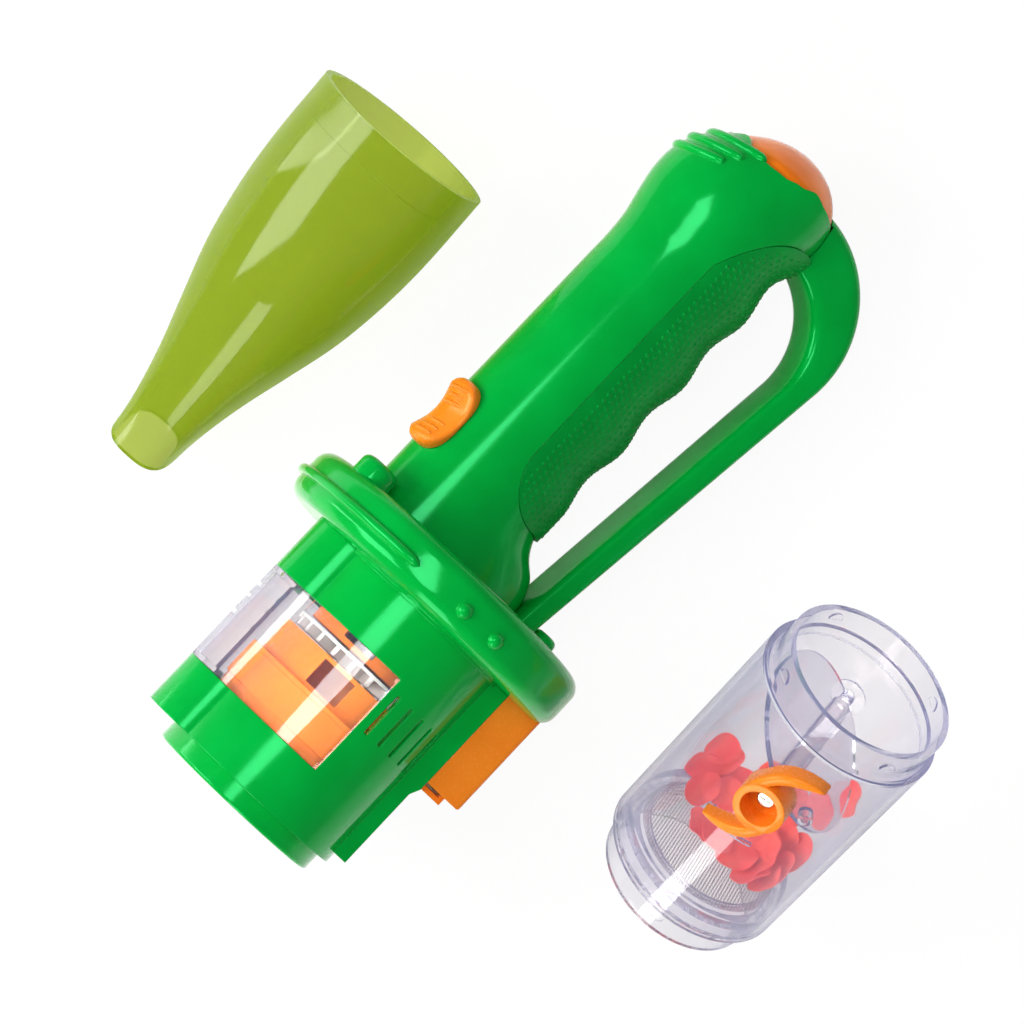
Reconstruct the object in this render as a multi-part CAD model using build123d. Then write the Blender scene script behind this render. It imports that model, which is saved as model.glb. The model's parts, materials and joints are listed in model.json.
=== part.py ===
from build123d import *
import math
import os

os.makedirs("parts", exist_ok=True)

# All lengths are millimetres. The suction body, the nozzle and the jar are each modelled about their own
# axis (+X along it, +Z towards the upper side), then laid on the floor in their places.

# Shared clearances and tool sizes
fit_gap = 0.1
running_gap = 0.05
slide_gap = 0.3
overrun = 60.0

# Housing: the main tube of the suction body
shell_r = 32.4
shell_wall = 2.0
housing_len = 72.5
lobe_r = 13.8
lobe_y = 26.8
keel_half = 17.6
keel_nose = 3.6
housing_front_wall = 2.0
bumper_rear_x = -24.0
bumper_width = 17.2
bumper_front_x = bumper_rear_x - bumper_width
housing_front_x = bumper_front_x - housing_len

# Window in the upper half of the housing
window_rear_margin = 18.9
window_len = 35.8
window_wall = 1.8
window_rim_depth = 4.0
window_rim_width = 1.6
window_groove_depth = 1.0
window_groove_width = 1.3
window_groove_shares = (0.49, 0.665, 0.79)
window_groove_low_share = 0.2
window_rear_x = bumper_front_x - window_rear_margin
window_front_x = window_rear_x - window_len

# Vent slots below the window
vent_count = 5
vent_len = 14.7
vent_width = 1.5
vent_first_deg = 6.4
vent_pitch_deg = 10.8
vent_rear_margin = 3.8
vent_rear_x = window_rear_x - vent_rear_margin

# Collar with the bayonet socket that takes the jar
socket_r = 26.6
collar_r = 29.1
collar_reach = 6.3
collar_flange_r = 30.2
collar_flange_len = 2.0
collar_edge = 0.9
bayonet_count = 4
bayonet_first_deg = 45.0
bayonet_slot_width = 5.2
bayonet_slot_depth = 1.4

# Bumper disc between housing and handle
bumper_r = 52.5
bumper_wall = 2.0
bumper_round = 5.0
bumper_hole_r = 20.0
bumper_ridge_height = 2.1
bumper_ridge_width = 3.0
bumper_ridge_edge = 1.2
bumper_ridge_half_deg = 62.0
bumper_ridge_share = 0.44
bumper_stud_r = 2.3
bumper_stud_degs = (-6.8, 9.0)
bumper_stud_share = 0.56
bumper_hub_r = 33.6
bumper_hub_len = 1.2
upper_boss_r = 6.3
upper_boss_y = 42.0
upper_boss_z = 12.0
upper_boss_len = 5.6
lower_boss_r = 4.2
lower_boss_y = -34.0
lower_boss_len = 4.0
boss_round = 2.0

# Handle: half-heights (Y), half-depths (Z) and centre heights of its sections
handle_len = 153.0
handle_wall = 2.4
handle_half_height = 23.8
handle_half_depth = 19.0
handle_centre_y = 11.9
handle_straight_len = 104.0
handle_rise = 3.6
handle_drop = 3.7
handle_spread = 2.6
handle_rise_shares = (0.0, 0.17, 0.64, 1.0, 0.92, 0.11)
handle_drop_shares = (0.0, 0.0, 0.0, 0.11, 0.70, 1.0)
handle_spread_shares = (0.0, 0.08, 0.38, 0.77, 1.0, 0.92)
handle_end_r = 20.6
handle_end_centre_y = 8.3
root_web_half = 15.0
root_web_drop = 25.2
root_web_reach = 22.0
root_web_sag = 2.4
handle_end_x = bumper_rear_x + handle_len

# Raised ribs over the back of the handle
rib_count = 3
rib_width = 2.2
rib_height = 1.1
rib_first_x = 114.6
rib_pitch = 4.9
rib_lean_deg = 20.0
rib_end_y = 25.0
rib_end_step = 5.2

# Grip panels on the underside of the handle
grip_front_x = 0.0
grip_rear_x = 118.5
grip_top_y = 9.8
grip_corner = 12.5
grip_corner_share = 0.3
grip_rear_run = 26.3
grip_rear_drop = 21.3
grip_rear_middle = (6.9, 9.4)
grip_cut_reach = 10.0
grip_thickness = 1.3
grip_swell = 1.6
finger_count = 4
finger_pitch = 27.0
finger_first_x = 22.5
finger_depth = 1.5
finger_half_chord = 11.5

# Loop guard under the fingers
guard_half = 9.5
guard_root_y = -27.0
guard_rear_width = 17.0
guard_centre_y = -5.2
guard_outer_r = 36.4
guard_hole_root_x = -6.6
guard_hole_root_y = -18.4
guard_hole_r = 26.2
guard_edge = 2.4
guard_gap = 0.1

# Translucent cap on the handle's end
cap_reach = 10.2
cap_wall = 1.8
cap_spigot_len = 7.0
cap_scallops = 8
cap_scallop_r = 6.6
cap_scallop_depth = 2.2

# Switch on top of the handle
switch_len = 24.3
switch_centre_x = 7.0
switch_half_width = 10.0
switch_height = 3.2
switch_saddle_depth = 1.7
switch_saddle_half = 8.1
switch_corner = 5.5
switch_rib_r = 0.55
switch_rib_pitch = 2.1
switch_ribs_per_end = 3
switch_rib_first_share = 0.8
switch_rib_half = 5.5
switch_travel = 6.0
switch_stem_len = 6.0
switch_stem_half = 1.7
switch_stem_drop = 4.2
switch_base_len = 26.0
switch_base_half = 6.0
switch_base_height = 3.0
switch_wiper_height = 0.8

# Battery box under the housing
box_len = 50.0
box_bottom_y = -48.0
box_top_y = -34.2
box_half = 17.4
box_wall = 1.2
box_edge = 1.6
box_front_x = -76.2
skirt_bottom_y = -34.0
skirt_wall = 1.9
skirt_lead = 3.2
latch_gap = 1.0
latch_thick = 1.7
latch_top_y = -34.6
latch_bottom_y = -45.6
latch_half = 8.0
cell_r = 5.25
cell_len = 44.5
cell_count = 3
cell_gap = 0.1
cell_tip_r = 1.9
cell_tip_len = 0.8
contact_thick = 0.5
contact_half = 4.2
contact_overhang = 3.7
bay_head_room = 3.2

# Air path and motor
duct_r = 28.8
duct_wall = 2.2
duct_len = 12.0
duct_front_x = -92.4
duct_neck_r = 28.0
fan_housing_r = 25.8
fan_housing_wall = 2.0
fan_housing_len = 11.3
fan_web = 1.5
fan_inlet_r = 13.0
fan_cutout_len = 8.6
fan_cutout_deg = 26.0
fan_cutout_centre_deg = -27.0
impeller_r = 23.6
impeller_len = 4.0
impeller_gap = 0.7
impeller_plate = 1.0
impeller_hub_r = 4.0
impeller_vanes = 22
vane_thick = 1.5
vane_inner_r = 13.5
bracket_r = 21.0
bracket_wall = 2.4
bracket_face = 1.8
bracket_gap = 0.8
bracket_len = 14.5
bracket_foot_r = 30.2
bracket_foot_len = 2.0
bracket_slot_len = 4.6
bracket_slot_half = 5.5
bracket_slot_deg = -32.0
motor_r = 12.0
motor_len = 26.0
motor_wall = 0.9
motor_bell_len = 4.0
motor_boss_r = 3.2
motor_boss_len = 1.5
motor_shaft_r = 1.0
motor_terminal_r = 0.9
motor_terminal_len = 3.0

# Case screws and their bosses
screw_r = 1.2
screw_head_r = 2.5
screw_head_len = 1.8
screw_len = 12.0
boss_r = 3.2
screw_head_z = -8.0
screw_spots = ((-106.0, 34.0), (-52.0, 34.0), (-32.6, 43.0), (34.0, 20.0), (84.0, 20.0), (118.0, 14.0))

# Nozzle: outer radii at shares of its length, from the tip
nozzle_len = 125.6
nozzle_wall = 1.6
nozzle_tip_r = 13.1
nozzle_mouth_r = 30.4
nozzle_station_shares = (0.0, 0.115, 0.27, 0.43, 0.575, 0.70, 0.80, 1.0)
nozzle_radius_shares = (0.0, 0.10, 0.33, 0.60, 0.81, 0.93, 0.985, 1.0)
nozzle_tip_half = 11.6
nozzle_flat_len = 62.0
nozzle_flat_half = 35.0
nozzle_corner_share = 0.45
nozzle_cut_x = 6.9
nozzle_cut_deg = 28.0
nozzle_socket_r = 28.2
nozzle_socket_len = 11.0
nozzle_slot_depth = 1.0

# Jar
jar_r = 30.0
jar_wall = 2.0
jar_tube_len = 82.0
mouth_neck_r = 27.6
mouth_neck_wall = 2.0
mouth_neck_len = 10.0
base_neck_r = 26.1
base_neck_wall = 2.0
base_neck_len = 12.6
shoulder_thick = 2.0
shoulder_rim = 0.8
shoulder_rim_width = 2.4
key_r = 2.6
key_height = 0.7
key_root = 2.6
mouth_key_share = 0.45
base_key_share = 0.60
dimple_r = 2.0
dimple_depth = 0.5
dimple_share = 0.45
base_plug_len = 3.4
mesh_rise = 5.6
mesh_r = 23.6
mesh_thick = 0.4
mesh_frame_inner_r = 21.6
mesh_frame_thick = 2.2

# Butterfly valve near the jar's mouth
valve_from_shoulder = 20.0
valve_open_deg = 35.0
valve_roll_deg = 4.0
flap_r = 26.8
flap_thick = 1.6
flap_sleeve_r = 3.6
flap_sleeve_margins = (5.6, 3.6)
shaft_r = 2.5
shaft_far_reach = 28.6
bearing_r = 6.0
bearing_height = 1.6
bearing_root = 3.0
knob_gap = 0.4
knob_hub_r = 8.0
knob_bore_r = 6.0
knob_height = 9.6
knob_floor = 2.4
knob_reach = 23.0
wing_thick = 3.3
wing_drop = 1.2
wing_bow = 5.0
wing_middle_share = 0.55
wing_middle_rise = 0.5
wing_lag_deg = 3.0
knob_screw_r = 1.3
knob_screw_head_r = 3.0
knob_screw_head_len = 1.8
knob_screw_round = 0.7
knob_cross_half = 1.8
knob_cross_width = 0.65
knob_screw_len = 8.0
stop_post_r = 2.2
stop_post_bore_r = 1.2
stop_post_height = 3.6
stop_post_deg = 22.0
stop_rib_r = 22.0
stop_rib_width = 1.0
stop_rib_height = 1.2
stop_rib_from_deg = 155.0
stop_rib_to_deg = 197.0

# Loose paper petals
petal_r = 6.0
petal_thick = 0.35
petal_step = 0.75
petal_layers = 3
petal_ring_r = 13.6
petals_per_layer = 3
petal_first_deg = 200.0
petal_layer_deg = 47.0
petal_pitch_deg = 62.0
petal_shrink_share = 0.04
wall_petal_rows = 3
wall_petal_columns = 4
wall_petal_pitch = 11.0
wall_petal_deg = 27.0
wall_petal_lag_deg = 9.0
wall_petal_r = 5.4
wall_petal_gap = 0.3

# Poses on the floor and places of the three assemblies
body_tilt_deg = 11.2
body_roll_deg = 20.0
nozzle_tilt_deg = -5.0
nozzle_turn_deg = 1.8
nozzle_centre = (8.85, 98.9)
nozzle_centre_share = 0.588
jar_tilt_deg = -31.0
jar_turn_deg = 3.85
jar_centre = (-2.9, -113.0)
jar_centre_share = 0.52


def axial(radius, start, end, y=0, z=0):
    """Cylinder along +X from start to end."""
    rod = Cylinder(radius, end - start, align=(Align.CENTER, Align.CENTER, Align.MIN))
    return Pos(start, y, z) * Rot(0, 90, 0) * rod


def upright(radius, low, high, x=0, y=0):
    """Cylinder along +Z from low to high."""
    rod = Cylinder(radius, high - low, align=(Align.CENTER, Align.CENTER, Align.MIN))
    return Pos(x, y, low) * rod


def block(x0, x1, y0, y1, z0, z1):
    """Box between two corners."""
    size = (x1 - x0, y1 - y0, z1 - z0)
    return Pos((x0 + x1) / 2, (y0 + y1) / 2, (z0 + z1) / 2) * Box(*size)


def near_half(part):
    """The half of a moulding on the upper side of the parting plane."""
    return part & block(-4 * overrun, 4 * overrun, -2 * overrun, 2 * overrun, 0, 2 * overrun)


def far_half(part):
    """The half of a moulding on the lower side of the parting plane."""
    return part & block(-4 * overrun, 4 * overrun, -2 * overrun, 2 * overrun, -2 * overrun, 0)


def screw_bosses(room, x0, x1):
    """Bosses and pilot holes of the case screws between two stations, kept inside a room."""
    bosses, holes = [], []
    for x, y in screw_spots:
        if x0 < x < x1:
            bosses.append(upright(boss_r, -overrun, overrun, x, y) & room)
            holes.append(upright(screw_r + running_gap, screw_head_z, screw_head_z + screw_len + slide_gap, x, y))
            holes.append(upright(screw_head_r + fit_gap, -overrun, screw_head_z + fit_gap, x, y))
    return bosses, holes


def lobed(inset, x0, x1):
    """The tube and its upper lobe, inset from the outer surface."""
    return axial(shell_r - inset, x0, x1) + axial(lobe_r - inset, x0, x1, lobe_y)


def housing():
    """Both halves of the housing as one tube, before it is parted."""
    bay_front_x = box_front_x - latch_gap - latch_thick - slide_gap
    body = lobed(0, housing_front_x, bumper_front_x)
    body += block(housing_front_x + keel_nose, bumper_front_x, -shell_r, 0, -keel_half, keel_half)
    skirt = Polyline(
        (bay_front_x - skirt_lead, -shell_r),
        (bay_front_x, skirt_bottom_y),
        (bumper_front_x, skirt_bottom_y),
        (bumper_front_x, 0),
        (bay_front_x - skirt_lead, 0),
        close=True,
    )
    body += extrude(make_face(skirt), amount=keel_half, both=True)
    bay_half = keel_half - skirt_wall
    bay = block(bay_front_x, bumper_front_x + overrun, -overrun, 0, -bay_half, bay_half)
    body -= bay - axial(shell_r, bay_front_x - overrun, bumper_front_x + 2 * overrun)
    inner_front = housing_front_x + housing_front_wall
    room = lobed(shell_wall, inner_front, bumper_front_x + overrun)
    bosses, holes = screw_bosses(lobed(shell_wall, inner_front, bumper_front_x), housing_front_x, bumper_front_x)
    body = body - room - axial(collar_r + running_gap, housing_front_x - overrun, inner_front + overrun)
    body -= block(window_front_x, window_rear_x, 0, overrun, -overrun, overrun)
    for boss in bosses:
        body += boss
    for hole in holes:
        body -= hole
    slot = extrude(SlotOverall(vent_len, vent_width), amount=overrun)
    for index in range(vent_count):
        angle = vent_first_deg + index * vent_pitch_deg
        place = Pos(vent_rear_x - vent_len / 2, 0, 0)
        body -= place * Rot(angle, 0, 0) * slot
        body -= place * Rot(180 - angle, 0, 0) * slot
    return body


def window_cover():
    """Clear cover that closes the upper half of the housing over the fan."""
    x0 = window_front_x + fit_gap
    x1 = window_rear_x - fit_gap
    cover = lobed(0, x0, x1)
    cover -= lobed(window_wall, x0 + window_rim_width, x1 - window_rim_width)
    cover -= lobed(window_rim_depth, x0 - overrun, x1 + overrun)
    cover &= block(x0, x1, fit_gap, overrun, -overrun, overrun)
    groove_base = lobe_r - window_groove_depth
    for share in window_groove_shares:
        x = window_front_x + share * window_len
        cut = axial(lobe_r + overrun, x - window_groove_width / 2, x + window_groove_width / 2, lobe_y)
        cut -= axial(groove_base, x - window_groove_width, x + window_groove_width, lobe_y)
        keep_y = lobe_y + window_groove_low_share * groove_base
        cover -= cut & block(x - window_groove_width, x + window_groove_width, keep_y, overrun, -overrun, overrun)
    return cover


def bayonet_slots(inner_r, depth, x0, x1):
    """Axial slots round a socket, one for each key of the neck that it takes."""
    slots = []
    for index in range(bayonet_count):
        turn = Rot(bayonet_first_deg + index * 360 / bayonet_count, 0, 0)
        half = bayonet_slot_width / 2
        slots.append(turn * block(x0, x1, 0, inner_r + depth, -half, half))
    return slots


def front_collar():
    """Ring at the front of the housing with the socket for the jar's base neck."""
    front = housing_front_x - collar_reach
    back = housing_front_x + housing_front_wall
    ring = axial(collar_r, front, back) + axial(collar_flange_r, back, back + collar_flange_len)
    ring = fillet(ring.edges().group_by(Axis.X)[0], collar_edge)
    ring -= axial(socket_r, front - overrun, back + overrun)
    for slot in bayonet_slots(socket_r, bayonet_slot_depth, front - overrun, back + collar_flange_len / 2):
        ring -= slot
    return ring


def bumper():
    """Hollow bumper disc, before it is parted."""
    disc = axial(bumper_r, bumper_front_x, bumper_rear_x)
    disc = fillet(disc.edges(), bumper_round)
    disc += axial(bumper_hub_r, bumper_front_x - bumper_hub_len, bumper_front_x)
    for z in (-upper_boss_z, upper_boss_z):
        boss = axial(upper_boss_r, bumper_rear_x - bumper_wall, bumper_rear_x + upper_boss_len, upper_boss_y, z)
        disc += fillet(boss.edges().group_by(Axis.X)[-1], boss_round)
    boss = axial(lower_boss_r, bumper_rear_x - bumper_wall, bumper_rear_x + lower_boss_len, lower_boss_y)
    disc += fillet(boss.edges().group_by(Axis.X)[-1], boss_round)
    room = axial(bumper_r - bumper_wall, bumper_front_x + bumper_wall, bumper_rear_x - bumper_wall)
    room = fillet(room.edges(), bumper_round - bumper_wall)
    ridge_x = bumper_front_x + bumper_ridge_share * bumper_width
    half = bumper_ridge_width / 2
    ridge = axial(bumper_r + bumper_ridge_height, ridge_x - half, ridge_x + half)
    ridge = fillet(ridge.edges(), bumper_ridge_edge)
    ridge -= axial(bumper_r - bumper_wall / 2, ridge_x - overrun, ridge_x + overrun)
    spread = (bumper_r + overrun) * math.tan(math.radians(bumper_ridge_half_deg))
    wedge = Polyline((0, 0), (bumper_r + overrun, -spread), (bumper_r + overrun, spread), close=True)
    wedge = extrude(Plane.YZ.offset(ridge_x - overrun) * make_face(wedge), amount=2 * overrun)
    disc += ridge & wedge
    stud_x = bumper_front_x + bumper_stud_share * bumper_width
    for side in (1, -1):
        for angle in bumper_stud_degs:
            place = Rot(angle if side > 0 else 180 - angle, 0, 0) * Pos(stud_x, 0, bumper_r)
            disc += place * Sphere(bumper_stud_r)
    bosses, holes = screw_bosses(room, bumper_front_x, bumper_rear_x)
    disc -= room
    for boss in bosses:
        disc += boss
    for hole in holes:
        disc -= hole
    disc -= axial(bumper_hole_r, bumper_front_x - overrun, bumper_rear_x - bumper_wall)
    disc -= axial(bumper_hole_r / 2, bumper_rear_x - overrun / 2, bumper_rear_x + overrun / 2)
    disc -= lobed(-fit_gap, bumper_front_x - overrun, bumper_front_x)
    disc -= block(bumper_front_x - overrun, bumper_front_x, -overrun, 0, -keel_half - fit_gap, keel_half + fit_gap)
    bay_half = box_half + slide_gap
    bay_rear = box_front_x + box_len + slide_gap
    disc -= block(bumper_front_x - overrun, bay_rear, -2 * overrun, box_top_y + bay_head_room, -bay_half, bay_half)
    return disc


def handle_section(x, top, bottom, half_depth, outset, drop):
    """Ellipse across the handle, set out from its surface and lowered on its underside."""
    ellipse = Ellipse((top - bottom + drop) / 2 + outset, half_depth + outset)
    return Plane.YZ.offset(x) * Pos((top + bottom - drop) / 2, 0) * ellipse


def handle_solid(outset, drop=0):
    """The handle's outer form as a solid: a straight run, then the swell behind the grip."""
    top = handle_centre_y + handle_half_height
    bottom = handle_centre_y - handle_half_height
    swell_x = bumper_rear_x + handle_straight_len
    steps = len(handle_rise_shares)
    pitch = (handle_end_x - swell_x) / steps
    sections = []
    for index in range(steps):
        sections.append(handle_section(
            swell_x + index * pitch,
            top + handle_rise_shares[index] * handle_rise,
            bottom - handle_drop_shares[index] * handle_drop,
            handle_half_depth + handle_spread_shares[index] * handle_spread,
            outset,
            drop,
        ))
    end_top = handle_end_centre_y + handle_end_r
    end_bottom = handle_end_centre_y - handle_end_r
    sections.append(handle_section(handle_end_x, end_top, end_bottom, handle_end_r, outset, drop))
    front = handle_section(bumper_rear_x, top, bottom, handle_half_depth, outset, drop)
    return extrude(front, amount=handle_straight_len) + loft(sections)


def grip_region():
    """Side outline of the textured grip panel, run through the whole depth."""
    low = -overrun
    left = ThreePointArc(
        (grip_front_x, grip_top_y - grip_corner),
        (grip_front_x + grip_corner_share * grip_corner, grip_top_y - grip_corner_share * grip_corner),
        (grip_front_x + grip_corner, grip_top_y),
    )
    right_start = grip_rear_x - grip_rear_run
    right = ThreePointArc(
        (right_start, grip_top_y),
        (grip_rear_x - grip_rear_middle[0], grip_top_y - grip_rear_middle[1]),
        (grip_rear_x, grip_top_y - grip_rear_drop),
    )
    sides = [
        Line((grip_front_x, low), (grip_front_x, grip_top_y - grip_corner)),
        left,
        Line((grip_front_x + grip_corner, grip_top_y), (right_start, grip_top_y)),
        right,
        Line((grip_rear_x, grip_top_y - grip_rear_drop), (grip_rear_x, low)),
        Line((grip_rear_x, low), (grip_front_x, low)),
    ]
    return extrude(make_face(Wire(sides)), amount=overrun, both=True)


def root_web():
    """Flare under the front end of the handle, where it runs into the bumper."""
    tip_x = bumper_rear_x + root_web_reach
    tip_y = handle_centre_y - handle_half_height
    outline = [
        Line((bumper_rear_x, 0), (tip_x, 0)),
        Line((tip_x, 0), (tip_x, tip_y)),
        ThreePointArc(
            (tip_x, tip_y),
            ((bumper_rear_x + tip_x) / 2 - root_web_sag, (tip_y - root_web_drop) / 2),
            (bumper_rear_x, -root_web_drop),
        ),
        Line((bumper_rear_x, -root_web_drop), (bumper_rear_x, 0)),
    ]
    return extrude(make_face(Wire(outline)), amount=root_web_half, both=True)


def handle():
    """Both handle halves as one moulding, before it is parted."""
    outer = handle_solid(0)
    inner = handle_solid(-handle_wall)
    shell = outer + root_web() - (inner & block(bumper_rear_x, handle_end_x, -overrun, overrun, -overrun, overrun))
    ribs = handle_solid(rib_height) - handle_solid(-handle_wall / 2)
    for index in range(rib_count):
        x = rib_first_x + index * rib_pitch
        top_y = handle_centre_y + handle_half_height + handle_rise
        low_y = rib_end_y - index * rib_end_step
        slab = Pos(x, top_y, 0) * Rot(0, 0, rib_lean_deg) * Box(rib_width, 2 * overrun, 2 * overrun)
        shell += ribs & slab & block(x - overrun, x + overrun, low_y, overrun, -overrun, overrun)
    shell -= grip_region() & (handle_solid(grip_cut_reach) - handle_solid(-grip_thickness))
    bosses, holes = screw_bosses(inner, bumper_rear_x, handle_end_x)
    for boss in bosses:
        shell += boss
    for hole in holes:
        shell -= hole
    top = handle_centre_y + handle_half_height
    reach = (switch_stem_len + switch_travel) / 2 + slide_gap
    slot_half = switch_stem_half + slide_gap
    shell -= block(
        switch_centre_x - reach, switch_centre_x + reach, top - 2 * handle_wall, top + overrun, -slot_half, slot_half
    )
    step = 360 / cap_scallops
    for index in range(cap_scallops):
        turn = Rot((index + 0.5) * step, 0, 0)
        centre_x = handle_end_x + cap_scallop_r - cap_scallop_depth
        shell -= Pos(centre_x, handle_end_centre_y, 0) * turn * upright(cap_scallop_r, 0, overrun)
    return shell


def grip_panels():
    """Textured grip with its finger waves, before it is parted."""
    panel = handle_solid(0, grip_swell) - handle_solid(-(grip_thickness - fit_gap))
    panel &= grip_region()
    low_y = handle_centre_y - handle_half_height - grip_swell
    wave_r = (finger_half_chord**2 + finger_depth**2) / (2 * finger_depth)
    for index in range(finger_count):
        x = finger_first_x + index * finger_pitch
        panel -= upright(wave_r, -overrun, overrun, x, low_y - wave_r + finger_depth)
    return panel


def tangent_point(start, centre, radius):
    """Where a line from a point runs onto the lower side of a circle without a kink."""
    run, rise = centre[0] - start[0], centre[1] - start[1]
    distance = math.hypot(run, rise)
    angle = math.atan2(rise, run) - math.asin(radius / distance)
    reach = math.sqrt(distance**2 - radius**2)
    return start[0] + reach * math.cos(angle), start[1] + reach * math.sin(angle)


def guard_outline(start, centre, radius, top_y):
    """Outline that runs from a point along the fingers and round the rear turn, closed at the top."""
    touch = tangent_point(start, centre, radius)
    middle = math.atan2(touch[1] - centre[1], touch[0] - centre[0]) / 2
    side_x = centre[0] + radius
    return extrude(make_face(Wire([
        Line((start[0], top_y), start),
        Line(start, touch),
        ThreePointArc(
            touch,
            (centre[0] + radius * math.cos(middle), centre[1] + radius * math.sin(middle)),
            (side_x, centre[1]),
        ),
        Line((side_x, centre[1]), (side_x, top_y)),
        Line((side_x, top_y), (start[0], top_y)),
    ])), amount=guard_half, both=True)


def loop_guard():
    """Guard bar from the bumper round the fingers to the handle's end, before it is parted."""
    outer_centre = (handle_end_x - guard_outer_r, guard_centre_y)
    hole_centre = (handle_end_x - guard_rear_width - guard_hole_r, guard_centre_y)
    bar = guard_outline((bumper_rear_x, guard_root_y), outer_centre, guard_outer_r, handle_centre_y)
    bar -= guard_outline((guard_hole_root_x, guard_hole_root_y), hole_centre, guard_hole_r, handle_end_r)
    sides = [edge for edge in bar.edges() if abs(edge.center().Z) > guard_half - running_gap]
    rounded = [edge for edge in sides if edge.center().Y < guard_centre_y]
    bar = fillet(rounded, guard_edge)
    bar -= handle_solid(guard_gap, grip_swell)
    return bar - root_web_room()


def root_web_room():
    """Space that the guard leaves for the flare of the handle."""
    return root_web() + Pos(0, -guard_gap, 0) * root_web()


def end_cap():
    """Domed translucent cap with the spigot that the scalloped shell edge frames."""
    dome = Pos(handle_end_x, handle_end_centre_y, 0) * half_ellipsoid(cap_reach, handle_end_r - fit_gap)
    hollow = Pos(handle_end_x, handle_end_centre_y, 0) * half_ellipsoid(
        cap_reach - cap_wall, handle_end_r - fit_gap - handle_wall - cap_wall
    )
    spigot_r = handle_end_r - handle_wall - 2 * fit_gap
    spigot = axial(spigot_r, handle_end_x - cap_spigot_len, handle_end_x, handle_end_centre_y)
    spigot -= axial(spigot_r - cap_wall, handle_end_x - overrun, handle_end_x + overrun, handle_end_centre_y)
    return dome - hollow + spigot


def half_ellipsoid(reach, radius):
    """Dome of revolution about +X, from x = 0 to its reach."""
    quarter = Ellipse(reach, radius) & Pos(reach / 2, radius / 2) * Rectangle(reach, radius)
    return revolve(quarter, Axis.X)


def switch_slider():
    """Saddle-shaped thumb slider with its stem through the handle."""
    x0 = switch_centre_x - switch_len / 2
    x1 = switch_centre_x + switch_len / 2
    plane = Plane.YZ.offset(x0)
    high = plane * Pos(handle_centre_y, 0) * Ellipse(
        handle_half_height + switch_height, handle_half_depth + switch_height
    )
    low = plane * Pos(handle_centre_y, 0) * Ellipse(handle_half_height + slide_gap, handle_half_depth + slide_gap)
    slider = extrude(high, amount=switch_len) - extrude(low, amount=switch_len)
    plan = Plane.XZ * Pos(switch_centre_x, 0) * RectangleRounded(
        switch_len, 2 * switch_half_width, switch_corner
    )
    slider &= extrude(plan, amount=-2 * overrun)
    top = handle_centre_y + handle_half_height
    saddle_r = (switch_saddle_half**2 + switch_saddle_depth**2) / (2 * switch_saddle_depth)
    saddle_y = top + switch_height - switch_saddle_depth + saddle_r
    slider -= upright(saddle_r, -overrun, overrun, switch_centre_x, saddle_y)
    for end in (-1, 1):
        for index in range(switch_ribs_per_end):
            x = switch_centre_x + end * switch_rib_pitch * (index + switch_rib_first_share)
            y = saddle_y - math.sqrt(saddle_r**2 - (x - switch_centre_x) ** 2)
            slider += upright(switch_rib_r, -switch_rib_half, switch_rib_half, x, y)
    stem_top = top + slide_gap * 2
    stem_low = top - switch_stem_drop
    half = switch_stem_len / 2
    slider += block(
        switch_centre_x - half, switch_centre_x + half, stem_low, stem_top, -switch_stem_half, switch_stem_half
    )
    return slider


def switch_wiper():
    """Copper wiper under the slider's stem."""
    y1 = handle_centre_y + handle_half_height - switch_stem_drop
    half = switch_stem_len / 2
    return block(
        switch_centre_x - half, switch_centre_x + half, y1 - switch_wiper_height, y1, -switch_stem_half, switch_stem_half
    )


def switch_base():
    """Contact block that the wiper runs on, hung from the handle's near wall by its ears."""
    top = handle_centre_y + handle_half_height - switch_stem_drop - switch_wiper_height - slide_gap
    half = switch_base_len / 2
    x0, x1 = switch_centre_x - half, switch_centre_x + half
    base = block(x0, x1, top - switch_base_height, top, -switch_base_half, switch_base_half)
    ear_depth = handle_half_depth
    base += block(x0, x0 + switch_base_height, top - switch_base_height, top, -ear_depth, ear_depth)
    base += block(x1 - switch_base_height, x1, top - switch_base_height, top, -ear_depth, ear_depth)
    return base & handle_solid(-handle_wall - fit_gap)


def intake_duct():
    """Orange drum that leads the air from the socket to the fan."""
    neck_front = housing_front_x + housing_front_wall + collar_flange_len
    duct = axial(duct_r, duct_front_x, duct_front_x + duct_len - fan_web)
    duct += axial(duct_neck_r, neck_front, duct_front_x)
    duct -= axial(duct_neck_r - duct_wall, neck_front - overrun, duct_front_x + overrun)
    return duct


def fan_housing():
    """Orange drum in front of the impeller, with its inlet web and side cut-out."""
    front = duct_front_x + duct_len
    drum = axial(duct_r, front - fan_web, front) + axial(fan_housing_r, front, front + fan_housing_len)
    drum -= axial(fan_housing_r - fan_housing_wall, front, front + overrun)
    drum -= axial(fan_inlet_r, front - overrun, front + overrun)
    cut_x = front + fan_housing_len / 2
    half_width = fan_housing_r * math.sin(math.radians(fan_cutout_deg / 2))
    cutter = block(cut_x - fan_cutout_len / 2, cut_x + fan_cutout_len / 2, -half_width, half_width, 0, overrun)
    return drum - Rot(fan_cutout_centre_deg, 0, 0) * cutter


def impeller():
    """White radial fan wheel."""
    front = duct_front_x + duct_len + fan_housing_len + impeller_gap
    back = front + impeller_len
    wheel = axial(impeller_r, back - impeller_plate, back) + axial(impeller_hub_r, front, back)
    for index in range(impeller_vanes):
        vane = block(front, back, vane_inner_r, impeller_r, -vane_thick / 2, vane_thick / 2)
        wheel += Rot(index * 360 / impeller_vanes, 0, 0) * vane
    return wheel - axial(motor_shaft_r, front - overrun, back + overrun)


def motor_start_x():
    """Front face of the motor can."""
    return duct_front_x + duct_len + fan_housing_len + impeller_gap + impeller_len + bracket_gap + bracket_face


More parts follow.
